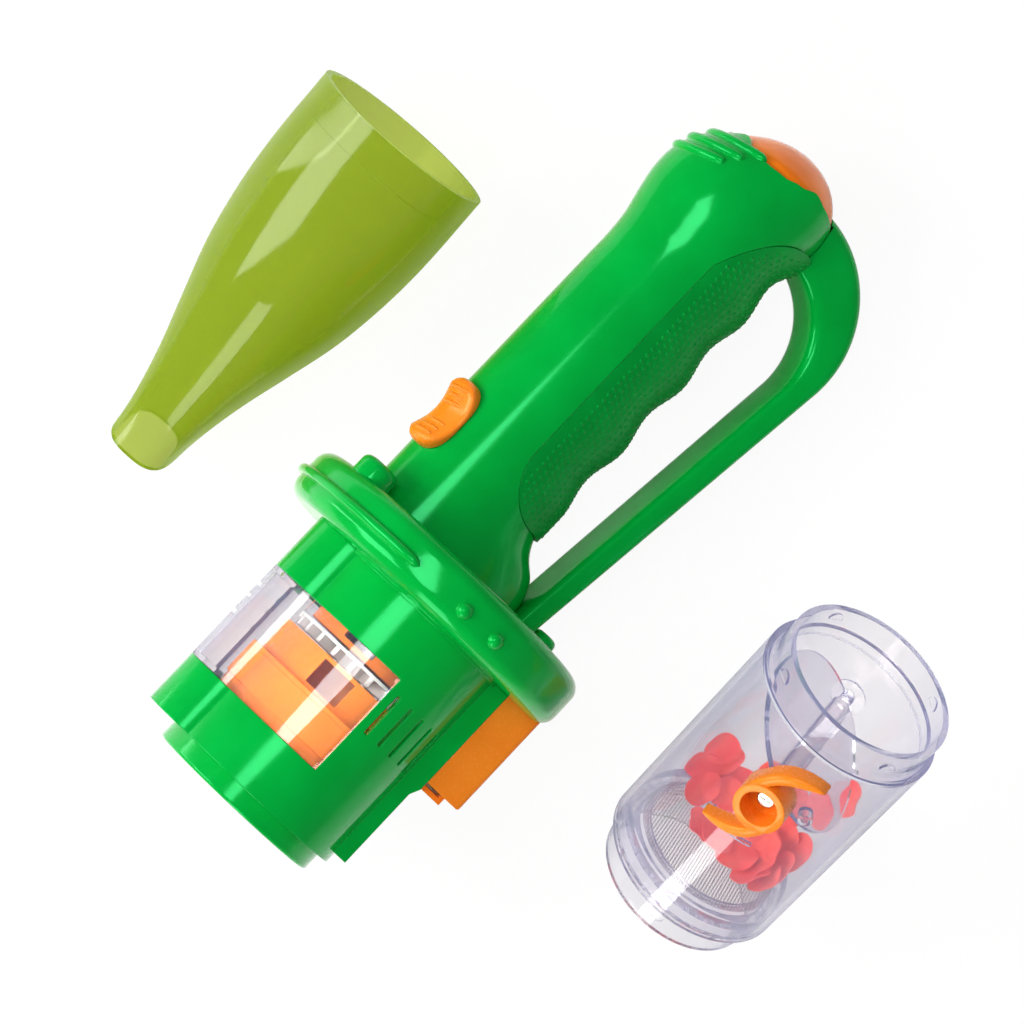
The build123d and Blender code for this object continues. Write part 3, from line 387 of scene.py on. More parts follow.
@dataclass(frozen=True)
class MouldedAbs:
    """ABS from a polished steel mould: a sharp highlight over a saturated body colour, with faint sink marks."""

    name: str
    colour: str
    deep: str
    roughness: float = 0.2
    sink_mm: float = 16.0
    edge_mm: float = 0.5
    ior: float = 1.53
    glow: float = 0.06
    sheen_tint: str = "#FFFFFF"

    def build(self) -> bpy.types.Material:
        """Makes the material."""
        material, tree = new_material(self.name)
        clouds = noise(tree, self.sink_mm)
        grain = noise(tree, 0.9, 3.0)
        colour = blend_colours(tree, spread(tree, clouds.outputs[0], 0.0, 1.0).outputs[0], self.colour, self.deep)
        rough = spread(tree, grain.outputs[0], self.roughness * 0.8, self.roughness * 1.25)
        edge = add_node(tree, "ShaderNodeBevel", {"samples": 6, "Radius": self.edge_mm * MM})
        sink = add_node(
            tree, "ShaderNodeBump", {"Strength": 0.08, "Distance": 0.08 * MM},
            {"Height": clouds.outputs[0], "Normal": edge.outputs[0]},
        )
        shader = add_node(
            tree, "ShaderNodeBsdfPrincipled",
            {"IOR": self.ior, "Subsurface Weight": self.glow, "Subsurface Radius": (0.6, 1.0, 0.4),
             "Subsurface Scale": 1.2 * MM, "Specular Tint": linear(self.sheen_tint)},
            {"Base Color": colour.outputs[2], "Roughness": rough.outputs[0], "Normal": sink.outputs[0]},
        )
        output(tree, shader)
        return material


@dataclass(frozen=True)
class ClearStyrene:
    """Clear or tinted polystyrene from a polished mould: the eye sees bright rims, a tint that gathers where the wall
    turns away, and what lies inside lit almost as if uncovered."""

    name: str
    tint: str
    rim: str
    rim_share: float = 0.35
    veil_share: float = 0.03
    roughness: float = 0.03
    ior: float = 1.42
    ripple_mm: float = 24.0
    ripple: float = 0.15

    def build(self) -> bpy.types.Material:
        """Makes the material."""
        material, tree = new_material(self.name)
        waves = noise(tree, self.ripple_mm)
        rough = spread(tree, waves.outputs[0], self.roughness * 0.7, self.roughness * 1.5)
        bump = add_node(
            tree, "ShaderNodeBump", {"Strength": self.ripple, "Distance": 0.1 * MM}, {"Height": waves.outputs[0]}
        )
        glass = add_node(
            tree, "ShaderNodeBsdfPrincipled",
            {"Base Color": linear(self.tint), "IOR": self.ior, "Transmission Weight": 1.0},
            {"Roughness": rough.outputs[0], "Normal": bump.outputs[0]},
        )
        body = add_node(tree, "ShaderNodeBsdfTranslucent", {"Color": linear(self.rim)})
        face = add_node(tree, "ShaderNodeBsdfDiffuse", {"Color": linear(self.rim)})
        milk = add_node(
            tree, "ShaderNodeMixShader", {0: 0.5}, {1: body.outputs[0], 2: face.outputs[0]}
        )
        turn = add_node(tree, "ShaderNodeLayerWeight", {"Blend": 0.22})
        share = add_node(
            tree, "ShaderNodeMapRange", {"To Min": self.veil_share, "To Max": self.rim_share},
            {"Value": turn.outputs["Facing"]},
        )
        mixed = add_node(
            tree, "ShaderNodeMixShader", links={0: share.outputs[0], 1: glass.outputs[0], 2: milk.outputs[0]}
        )
        path = add_node(tree, "ShaderNodeLightPath")
        clear = add_node(tree, "ShaderNodeBsdfTransparent", {"Color": linear(self.tint)})
        lit = add_node(
            tree, "ShaderNodeMixShader",
            links={0: path.outputs["Is Shadow Ray"], 1: mixed.outputs[0], 2: clear.outputs[0]},
        )
        output(tree, lit)
        return material


@dataclass(frozen=True)
class PlatedSteel:
    """Drawn or plated steel: grey metal whose fine drawing lines stretch the highlight."""

    name: str
    colour: str
    dull: str
    roughness: float
    line_mm: float = 0.4

    def build(self) -> bpy.types.Material:
        """Makes the material."""
        material, tree = new_material(self.name)
        lines = noise(tree, self.line_mm, 3.0, (12, 1, 1))
        colour = blend_colours(tree, spread(tree, lines.outputs[0], 0.0, 1.0).outputs[0], self.colour, self.dull)
        rough = spread(tree, lines.outputs[0], self.roughness * 0.8, self.roughness * 1.3)
        edge = add_node(tree, "ShaderNodeBevel", {"samples": 6, "Radius": 0.2 * MM})
        shader = add_node(
            tree, "ShaderNodeBsdfPrincipled", {"Metallic": 1.0},
            {"Base Color": colour.outputs[2], "Roughness": rough.outputs[0], "Normal": edge.outputs[0]},
        )
        output(tree, shader)
        return material


@dataclass(frozen=True)
class MattePlastic:
    """Moulded plastic from an etched mould: a soft sheen broken up by a fine grain."""

    name: str
    colour: str
    deep: str
    roughness: float = 0.45
    grain_mm: float = 0.5
    grain_height_mm: float = 0.03
    edge_mm: float = 0.3
    sheen_tint: str = "#FFFFFF"

    def build(self) -> bpy.types.Material:
        """Makes the material."""
        material, tree = new_material(self.name)
        grain = noise(tree, self.grain_mm, 3.0)
        clouds = noise(tree, 12.0)
        colour = blend_colours(tree, spread(tree, clouds.outputs[0], 0.0, 1.0).outputs[0], self.colour, self.deep)
        rough = spread(tree, grain.outputs[0], self.roughness * 0.85, self.roughness * 1.2)
        edge = add_node(tree, "ShaderNodeBevel", {"samples": 6, "Radius": self.edge_mm * MM})
        bump = add_node(
            tree, "ShaderNodeBump", {"Strength": 0.5, "Distance": self.grain_height_mm * MM},
            {"Height": grain.outputs[0], "Normal": edge.outputs[0]},
        )
        shader = add_node(
            tree, "ShaderNodeBsdfPrincipled", {"IOR": 1.5, "Specular Tint": linear(self.sheen_tint)},
            {"Base Color": colour.outputs[2], "Roughness": rough.outputs[0], "Normal": bump.outputs[0]},
        )
        output(tree, shader)
        return material


@dataclass(frozen=True)
class TissuePaper:
    """Dyed tissue paper: matt, lit from behind, with fibres that vary its red."""

    name: str
    colour: str
    deep: str
    fibre_mm: float = 1.2

    def build(self) -> bpy.types.Material:
        """Makes the material."""
        material, tree = new_material(self.name)
        fibres = noise(tree, self.fibre_mm, 4.0, (3, 1, 1))
        clouds = noise(tree, 9.0)
        colour = blend_colours(tree, spread(tree, clouds.outputs[0], 0.0, 1.0).outputs[0], self.colour, self.deep)
        bump = add_node(
            tree, "ShaderNodeBump", {"Strength": 0.4, "Distance": 0.05 * MM}, {"Height": fibres.outputs[0]}
        )
        face = add_node(
            tree, "ShaderNodeBsdfPrincipled", {"Roughness": 0.75, "Sheen Weight": 0.2, "IOR": 1.45},
            {"Base Color": colour.outputs[2], "Normal": bump.outputs[0]},
        )
        through = add_node(tree, "ShaderNodeBsdfTranslucent", links={"Color": colour.outputs[2]})
        mixed = add_node(tree, "ShaderNodeMixShader", {0: 0.35}, {1: face.outputs[0], 2: through.outputs[0]})
        output(tree, mixed)
        return material


@dataclass(frozen=True)
class Palette:
    """Every finish of the object, made once."""

    materials: dict

    @classmethod
    def mixed(cls) -> "Palette":
        """Makes all finishes."""
        finishes = {
            Slot.GREEN_SHELL: MouldedAbs("green_abs_polished", "#00A63A", "#009E35", 0.12, glow=0.0,
                                          sheen_tint="#5CFFA6"),
            Slot.GREEN_GRIP: MattePlastic("green_abs_etched", "#009634", "#008C2F", 0.36, 0.6, 0.02, sheen_tint="#50FF9C"),
            Slot.ORANGE: MouldedAbs("orange_abs_polished", "#FB8A22", "#F5801B", 0.24, glow=0.12, sheen_tint="#FFD0A0"),
            Slot.ORANGE_CLEAR: MouldedAbs("orange_styrene_translucent", "#F87E14", "#EC700E", 0.09, glow=0.06,
                                           sheen_tint="#FFC890"),
            Slot.CLEAR: ClearStyrene("clear_styrene_polished", "#FAF7F7", "#9296C0", 0.55, 0.035),
            Slot.LIME_CLEAR: ClearStyrene("lime_styrene_tinted", "#E2E48C", "#98B02C", 0.8, 0.42, 0.08),
            Slot.WHITE: MattePlastic("white_nylon_moulded", "#E6EAE6", "#D5DCD6", 0.4),
            Slot.MOTOR_STEEL: PlatedSteel("steel_zinc_drawn", "#A6A8AC", "#86888C", 0.32),
            Slot.SCREW_STEEL: PlatedSteel("steel_nickel_plated", "#D9D8D4", "#BDBBB6", 0.18, 0.2),
            Slot.MESH_STEEL: PlatedSteel("steel_wire_woven", "#C4C0BC", "#9E9A96", 0.3, 0.3),
            Slot.COPPER: PlatedSteel("copper_strip_rolled", "#D08A5C", "#B06E42", 0.3),
            Slot.CELL_JACKET: MattePlastic("black_sleeve_shrunk", "#26262A", "#1B1B1E", 0.3, 0.8, 0.01),
            Slot.RED_PAPER: TissuePaper("red_tissue_dyed", "#FF6A50", "#FC4C3A"),
        }
        return cls({slot: finish.build() for slot, finish in finishes.items()})

    def dress(self, node: str) -> None:
        """Gives a CAD node the finish that its record names."""
        slots = {part["node"]: part["material_slot"] for part in frame["record"]["subparts"]}
        obj = frame["nodes"][node]
        obj.data.materials.clear()
        obj.data.materials.append(self.materials[Slot(slots[node])])


# Handle
@dataclass(frozen=True)
class HandleForm:
    """The handle's outer surface: an ellipse at each station, with a swell behind the grip."""

    start_x: float = -24.0
    swell_x: float = 80.0
    end_x: float = 129.0
    half_height: float = 23.4
    half_depth: float = 19.0
    centre_y: float = 13.35
    rise: float = 4.0
    drop: float = 3.7
    spread: float = 2.6
    rise_shares: tuple = (0.0, 0.17, 0.64, 1.0, 0.92, 0.11)
    drop_shares: tuple = (0.0, 0.0, 0.0, 0.11, 0.70, 1.0)
    spread_shares: tuple = (0.0, 0.08, 0.38, 0.77, 1.0, 0.92)
    end_r: float = 21.2
    end_centre_y: float = 9.0
    root: tuple = ((-24.0, 13.6), (-17.0, 12.8), (-11.5, 10.2), (-6.6, 4.6), (-2.0, 1.6), (3.0, 0.0))
    edge: tuple = ((0.0, 127.4), (18.0, 129.0), (44.0, 125.5), (60.0, 125.1), (74.0, 125.6), (86.0, 127.2),
                   (100.0, 129.3), (118.0, 128.4), (140.0, 127.6), (158.0, 126.0), (172.0, 121.0), (180.0, 119.0))

    def stops(self, base: float, shares: Sequence[float], amount: float, end: float) -> list[Pair]:
        """Stops of one measure along the handle."""
        pitch = (self.end_x - self.swell_x) / len(shares)
        level = [(self.start_x, base), (self.swell_x - pitch, base)]
        swell = [(self.swell_x + i * pitch, base + share * amount) for i, share in enumerate(shares)]
        return level + swell + [(self.end_x, end), (self.end_x + pitch, end)]

    def measures(self, x: float) -> tuple[float, float, float]:
        """Top, bottom and half-depth of the section at a station."""
        top = self.centre_y + self.half_height
        bottom = self.centre_y - self.half_height
        return (
            flowing(self.stops(top, self.rise_shares, self.rise, self.end_centre_y + self.end_r), x),
            flowing(self.stops(bottom, self.drop_shares, -self.drop, self.end_centre_y - self.end_r), x),
            flowing(self.stops(self.half_depth, self.spread_shares, self.spread, self.end_r), x),
        )

    def point(self, x: float, angle: float, outset: float = 0.0, swell: float = 0.0) -> Point:
        """Point of the surface at a station and an angle from the top towards the near side, in radians."""
        top, bottom, depth = self.measures(x)
        bottom -= swell
        return (
            x,
            (top + bottom) / 2 + ((top - bottom) / 2 + outset) * math.cos(angle),
            (depth + outset) * math.sin(angle),
        )

    def edge_x(self, angle: float) -> float:
        """Station of the wavy rear edge at an angle."""
        degrees = abs(math.degrees(angle) + 180) % 360 - 180
        return eased(self.edge, abs(degrees))

    def angle_at(self, x: float, y: float, swell: float = 0.0) -> float:
        """Angle of the surface point on the near side at a station and a height."""
        top, bottom, _ = self.measures(x)
        bottom -= swell
        share = (y - (top + bottom) / 2) / ((top - bottom) / 2)
        return math.acos(max(-1.0, min(1.0, share)))

    def body(self, outset: float, swell: float = 0.0, end_x: float = 129.0, lead: float = 0.0) -> Blank:
        """Solid inside the surface, set out by an amount."""
        stations = [self.start_x - lead + (end_x - self.start_x + lead) * k / 110 for k in range(111)]
        turns = [2 * math.pi * k / 120 for k in range(120)]
        return skin([[self.point(x, turn, outset, swell) for turn in turns] for x in stations])


@dataclass(frozen=True)
class Handle:
    """Green handle shell with the flare at its root, three ribs over its back and a wavy rear edge."""

    form: HandleForm = HandleForm()
    wall: float = 2.4
    straight_end: float = 112.0
    rib_x: tuple = (113.6, 118.4, 123.4)
    rib_low_y: tuple = (31.0, 27.5, 22.5)
    rib_lean_deg: tuple = (20.0, 16.0, 12.0)
    rib_r: float = 1.55
    screw_x: tuple = (34.0, 84.0, 118.0)
    screw_y: tuple = (20.0, 20.0, 14.0)
    screw_head_r: float = 2.6
    screw_boss_r: float = 3.2
    screw_depth_z: float = -7.9
    slot: tuple = (-0.1, 12.5, 2.0)

    def shell(self) -> Blank:
        """Outer and inner surface as one closed wall."""
        count, rows = 144, []
        turns = [2 * math.pi * k / count for k in range(count)]
        outer, inner = [], []
        for k in range(131):
            share = k / 130
            outer_row, inner_row = [], []
            for turn in turns:
                far = self.form.edge_x(turn)
                x = self.form.start_x + (far - self.form.start_x) * share
                if share < 0.85:
                    x = self.form.start_x + (self.straight_end - self.form.start_x) * share / 0.85
                else:
                    x = self.straight_end + (far - self.straight_end) * (share - 0.85) / 0.15
                drop = self.root_drop(x) * max(0.0, -math.cos(turn)) ** 1.5
                px, py, pz = self.form.point(x, turn)
                outer_row.append((px, py - drop, pz))
                px, py, pz = self.form.point(x, turn, -self.wall)
                inner_row.append((px, py - drop, pz))
            outer.append(outer_row)
            inner.append(inner_row)
        rows = outer + inner[::-1]
        return skin(rows, ring=True, loop=True)

    def root_drop(self, x: float) -> float:
        """How far the flare at the root hangs under the plain section."""
        return flowing(self.form.root, x)

    def rib(self, index: int) -> Blank:
        """One rounded rib over the back, tapered at both ends."""
        x0, low_y = self.rib_x[index], self.rib_low_y[index]
        lean = math.tan(math.radians(self.rib_lean_deg[index]))
        top = self.form.measures(x0)[0]
        reach = self.form.angle_at(x0 + (top - low_y) * lean, low_y)
        path, radii, normals = [], [], []
        for k in range(49):
            share = 2 * k / 48 - 1
            angle = share * reach
            y = self.form.point(x0, angle)[1]
            x = x0 + (top - y) * lean
            here, out = self.form.point(x, angle, -0.25), self.form.point(x, angle, 1.0)
            path.append(here)
            normals.append(Vector(out) - Vector(here))
            radii.append(max(0.08, self.rib_r * (1 - abs(share) ** 20) ** 0.5))
        return tube(path, radii, 16, normals)

    def build(self, palette: "Palette", grip: "Grip") -> None:
        """Makes both shell halves."""
        whole = solid("handle_shell", self.shell(), BODY)
        for index in range(len(self.rib_x)):
            carve(whole, solid("rib", self.rib(index), BODY), "UNION")
        carve(whole, grip.room(self.form))
        x0, x1, half = self.slot
        carve(whole, solid("slot", prism([(x0, 20.0), (x1, 20.0), (x1, 50.0), (x0, 50.0)], -half, half), BODY))
        for x, y in zip(self.screw_x, self.screw_y):
            post = solid("post", prism(arc((x, y), self.screw_boss_r, 0, 345, 23), -20.0, 20.0), BODY)
            carve(post, solid("inside", self.form.body(-self.wall / 2), BODY), "INTERSECT")
            carve(whole, post, "UNION")
            hole = prism(arc((x, y), self.screw_head_r, 0, 350, 35), -40.0, self.screw_depth_z)
            carve(whole, solid("hole", hole, BODY))
        near = whole.copy()
        near.data = whole.data.copy()
        bpy.context.scene.collection.objects.link(near)
        frame_box = [(-40.0, -60.0), (150.0, -60.0), (150.0, 60.0), (-40.0, 60.0)]
        carve(near, solid("near_side", prism(frame_box, 0.0, 60.0), BODY), "INTERSECT")
        carve(whole, solid("far_side", prism(frame_box, -60.0, 0.0), BODY), "INTERSECT")
        near.name = "handle_shell_near"
        whole.name = "handle_shell_far"
        settle(near, Slot.GREEN_SHELL, Body.SUCTION, palette, ["handle_near"])
        settle(whole, Slot.GREEN_SHELL, Body.SUCTION, palette, ["handle_far"])


@dataclass(frozen=True)
class Grip:
    """Textured grip let into the handle's underside, with four finger waves and rows of raised dots."""

    front_x: float = -1.5
    rear_x: float = 116.4
    top_y: float = 13.0
    corner: float = 17.5
    rear_run: float = 24.0
    rear_drop: float = 23.0
    rear_middle: Pair = (6.5, 10.0)
    low_y: float = -40.0
    depth: float = 1.3
    swell: float = 2.9
    wave_first_x: float = 22.2
    wave_pitch: float = 27.0
    waves: int = 4
    wave_height: float = 2.5
    dot_pitch: float = 2.35
    dot_r: float = 0.7
    dot_height: float = 0.3
    dot_margin: float = 1.5
    joint: float = 0.12

    def outline(self, inset: float = 0.0) -> list[Pair]:
        """Side outline of the panel."""
        x0, x1, top, corner = self.front_x + inset, self.rear_x - inset, self.top_y - inset, self.corner - inset
        front = arc((x0 + corner, top - corner), corner, 180, 90, 16)
        start = (x1 - self.rear_run + inset, top)
        middle = (x1 - self.rear_middle[0], top - self.rear_middle[1])
        end = (x1, top - self.rear_drop)
        rear = []
        for k in range(19):
            t = k / 18
            a, b, c = 2 * (t - 0.5) * (t - 1), 4 * t * (1 - t), 2 * t * (t - 0.5)
            rear.append((a * start[0] + b * middle[0] + c * end[0], a * start[1] + b * middle[1] + c * end[1]))
        return [(x0, self.low_y)] + front + rear + [(x1, self.low_y)]

    def room(self, form: HandleForm) -> bpy.types.Object:
        """Cutter for the seat of the panel in the shell."""
        cutter = solid("grip_room", prism(self.outline(), -50.0, 50.0), BODY)
        carve(cutter, solid("grip_core", form.body(-self.depth, 0.0, 140.0, 10.0), BODY))
        return cutter

    def height(self, x: float) -> float:
        """How far the underside stands out below the handle at a station."""
        phase = (x - self.wave_first_x) / self.wave_pitch
        if phase < -0.5 or phase > self.waves - 0.5:
            return self.swell
        return self.swell - self.wave_height * (0.5 + 0.5 * math.cos(2 * math.pi * phase))

    def surface(self, form: HandleForm, x: float, angle: float, lift: float = 0.0) -> Point:
        """Point of the grip's outer surface."""
        top, bottom, depth = form.measures(x)
        share = eased(((0.45, 0.0), (1.0, 1.0)), abs(angle) / math.pi)
        x, y, z = form.point(x, angle, lift)
        return x, y - self.height(x) * share, z

    def dots(self, form: HandleForm) -> Blank:
        """Staggered low domes over the near side."""
        blank = Blank([], [])
        inner = self.outline(self.dot_margin)
        columns = int((self.rear_x - self.front_x) / self.dot_pitch) + 1
        for row in range(15):
            for column in range(columns):
                x = self.front_x + self.dot_pitch * (column + 0.5 * (row % 2))
                girth = 21.5
                angle = math.pi - (row + 0.55) * self.dot_pitch * 0.866 / girth
                centre = Vector(self.surface(form, x, angle))
                if not inside(inner, centre.x, centre.y) or angle > math.pi - 0.12:
                    continue
                along = (Vector(self.surface(form, x + 0.5, angle)) - centre).normalized()
                around = (Vector(self.surface(form, x, angle + 0.02)) - centre).normalized()
                out = (Vector(self.surface(form, x, angle, 1.0)) - centre).normalized()
                blank = blank.joined(dome(centre - out * 0.1, along, around, out, self.dot_r, self.dot_height + 0.1))
        return blank

    def build(self, palette: "Palette", form: HandleForm) -> None:
        """Makes both panels with their dots."""
        turns = [2 * math.pi * k / 144 for k in range(144)]
        stations = [self.front_x - 4 + (self.rear_x - self.front_x + 8) * k / 150 for k in range(151)]
        outer = skin([[
            self.surface(form, x, turn if turn <= math.pi else turn - 2 * math.pi) for turn in turns
        ] for x in stations])
        panel = solid("grip_panel", outer, BODY)
        carve(panel, solid("grip_side", prism(self.outline(self.joint), -50.0, 50.0), BODY), "INTERSECT")
        carve(panel, solid("grip_core", form.body(-self.depth + self.joint, 0.0, 140.0, 10.0), BODY))
        near = panel.copy()
        near.data = panel.data.copy()
        bpy.context.scene.collection.objects.link(near)
        frame_box = [(-40.0, -60.0), (150.0, -60.0), (150.0, 60.0), (-40.0, 60.0)]
        carve(near, solid("near_side", prism(frame_box, 0.0, 60.0), BODY), "INTERSECT")
        carve(panel, solid("far_side", prism(frame_box, -60.0, 0.0), BODY), "INTERSECT")
        near.name = "grip_panel_near_textured"
        panel.name = "grip_panel_far_textured"
        dots = self.dots(form)
        for piece, side in ((near, dots), (panel, dots.mirrored())):
            lay_on(piece, side, BODY)
        settle(near, Slot.GREEN_GRIP, Body.SUCTION, palette, ["grip_panel_near"])
        settle(panel, Slot.GREEN_GRIP, Body.SUCTION, palette, ["grip_panel_far"])


def inside(outline: Sequence[Pair], x: float, y: float) -> bool:
    """Whether a point lies inside a flat outline."""
    result = False
    for (x0, y0), (x1, y1) in zip(outline, list(outline[1:]) + [outline[0]]):
        if (y0 > y) != (y1 > y) and x < x0 + (x1 - x0) * (y - y0) / (y1 - y0):
            result = not result
    return result


def dome(centre: Vector, along: Vector, around: Vector, out: Vector, radius: float, height: float,
         sides: int = 10) -> Blank:
    """A small closed dome that stands on a surface."""
    rows, count = [], max(3, sides // 4)
    for level in (math.sin(math.pi / 2 * k / count) for k in range(count)):
        ring_r, lift = radius * math.sqrt(1 - level**2), height * level
        rows.append([
            tuple(centre + (along * math.cos(turn) + around * math.sin(turn)) * ring_r + out * lift)
            for turn in (2 * math.pi * k / sides for k in range(sides))
        ])
    blank = skin(rows)
    blank.faces.pop()
    top = len(blank.points)
    blank.points.append(tuple(centre + out * height))
    last = (len(rows) - 1) * sides
    blank.faces += [[last + i, last + (i + 1) % sides, top] for i in range(sides)]
    return blank


def lay_on(obj: bpy.types.Object, blank: Blank, place: Place) -> None:
    """Adds closed details to an object's mesh."""
    details = solid("details", blank, place)
    work = bmesh.new()
    work.from_mesh(obj.data)
    work.from_mesh(details.data)
    work.to_mesh(obj.data)
    work.free()
    bpy.data.objects.remove(details, do_unlink=True)


@dataclass(frozen=True)
class EndCap:
    """Translucent orange dome that the wavy shell edge frames, with its spigot inside the shell."""

    steps: int = 96
    wall: float = 1.8
    shell_gap: float = 0.15
    profile: tuple = ((118.0, 18.4), (121.0, 18.6), (124.0, 20.4), (126.4, 20.9), (127.8, 20.5), (129.4, 19.4),
                      (131.2, 17.9), (133.0, 16.0), (134.8, 13.8), (136.4, 11.2), (137.7, 8.2), (138.6, 5.0),
                      (139.1, 2.0), (139.2, 0.0))
    centre_stops: tuple = ((124.0, 9.0), (139.2, 7.0))

    def height(self, x: float) -> float:
        """Height of the cap's axis at a station."""
        return eased(self.centre_stops, x)

    def outer_profile(self, outset: float) -> list[Pair]:
        """Closed profile of the dome, set out by an amount."""
        first = self.profile[0][0]
        return [(first, 0.0)] + [(x + outset, r + outset if r else 0.0) for x, r in self.profile]

    def build(self, palette: "Palette") -> None:
        """Makes the cap."""
        outer = [(x, r) for x, r in self.profile]
        inner = [(x - self.wall * 0.75, max(0.0, r - self.wall)) for x, r in self.profile if r > self.wall]
        inner[0] = (self.profile[0][0], inner[0][1])
        closed = outer + [(self.profile[-1][0] - self.wall, 0.0)] + inner[::-1]
        blank = lathe(closed, self.steps, self.height)
        cap = solid("end_cap_dome", blank, BODY)
        settle(cap, Slot.ORANGE_CLEAR, Body.SUCTION, palette, ["end_cap"], 40.0)


@dataclass(frozen=True)
class Guard:
    """Rounded bar from the bumper under the fingers and up to the handle's end."""

    outer_start: Pair = (-24.0, -29.9)
    outer_centre: Pair = (95.0, -8.1)
    outer_r: float = 36.4
    inner_start: Pair = (-24.0, -22.4)
    inner_centre: Pair = (85.5, -8.1)
    inner_r: float = 26.2
    half: float = 9.5
    squareness: float = 0.42
    straight_steps: int = 60
    turn_steps: int = 48
    sides: int = 40

    def path(self, start: Pair, centre: Pair, radius: float) -> list[Pair]:
        """Points from the root along the fingers and round the rear turn."""
        run, rise = centre[0] - start[0], centre[1] - start[1]
        angle = math.atan2(rise, run) - math.asin(radius / math.hypot(run, rise))
        reach = math.sqrt(run**2 + rise**2 - radius**2)
        touch = (start[0] + reach * math.cos(angle), start[1] + reach * math.sin(angle))
        first = math.degrees(math.atan2(touch[1] - centre[1], touch[0] - centre[0]))
        straight = [
            (start[0] + (touch[0] - start[0]) * k / self.straight_steps,
             start[1] + (touch[1] - start[1]) * k / self.straight_steps) for k in range(self.straight_steps)
        ]
        return straight + arc(centre, radius, first, 0.0, self.turn_steps)

    def build(self, palette: "Palette", form: HandleForm, cap: EndCap) -> None:
        """Makes the bar."""
        outer = self.path(self.outer_start, self.outer_centre, self.outer_r)
        inner = self.path(self.inner_start, self.inner_centre, self.inner_r)
        rows = []
        for (x0, y0), (x1, y1) in zip(inner, outer):
            row = []
            for k in range(self.sides):
                turn = 2 * math.pi * k / self.sides
                c, s = math.cos(turn), math.sin(turn)
                along = 0.5 + 0.5 * math.copysign(abs(c) ** self.squareness, c)
                row.append((x0 + (x1 - x0) * along, y0 + (y1 - y0) * along,
                            self.half * math.copysign(abs(s) ** self.squareness, s)))
            rows.append(row)
        bar = solid("loop_guard_bar", skin(rows), BODY)
        carve(bar, solid("handle_room", form.body(0.1, 0.0, 129.0, 4.0), BODY))
        carve(bar, solid("cap_room", lathe(cap.outer_profile(0.15), 72, cap.height), BODY))
        settle(bar, Slot.GREEN_SHELL, Body.SUCTION, palette, ["loop_guard_near", "loop_guard_far"], 38.0)


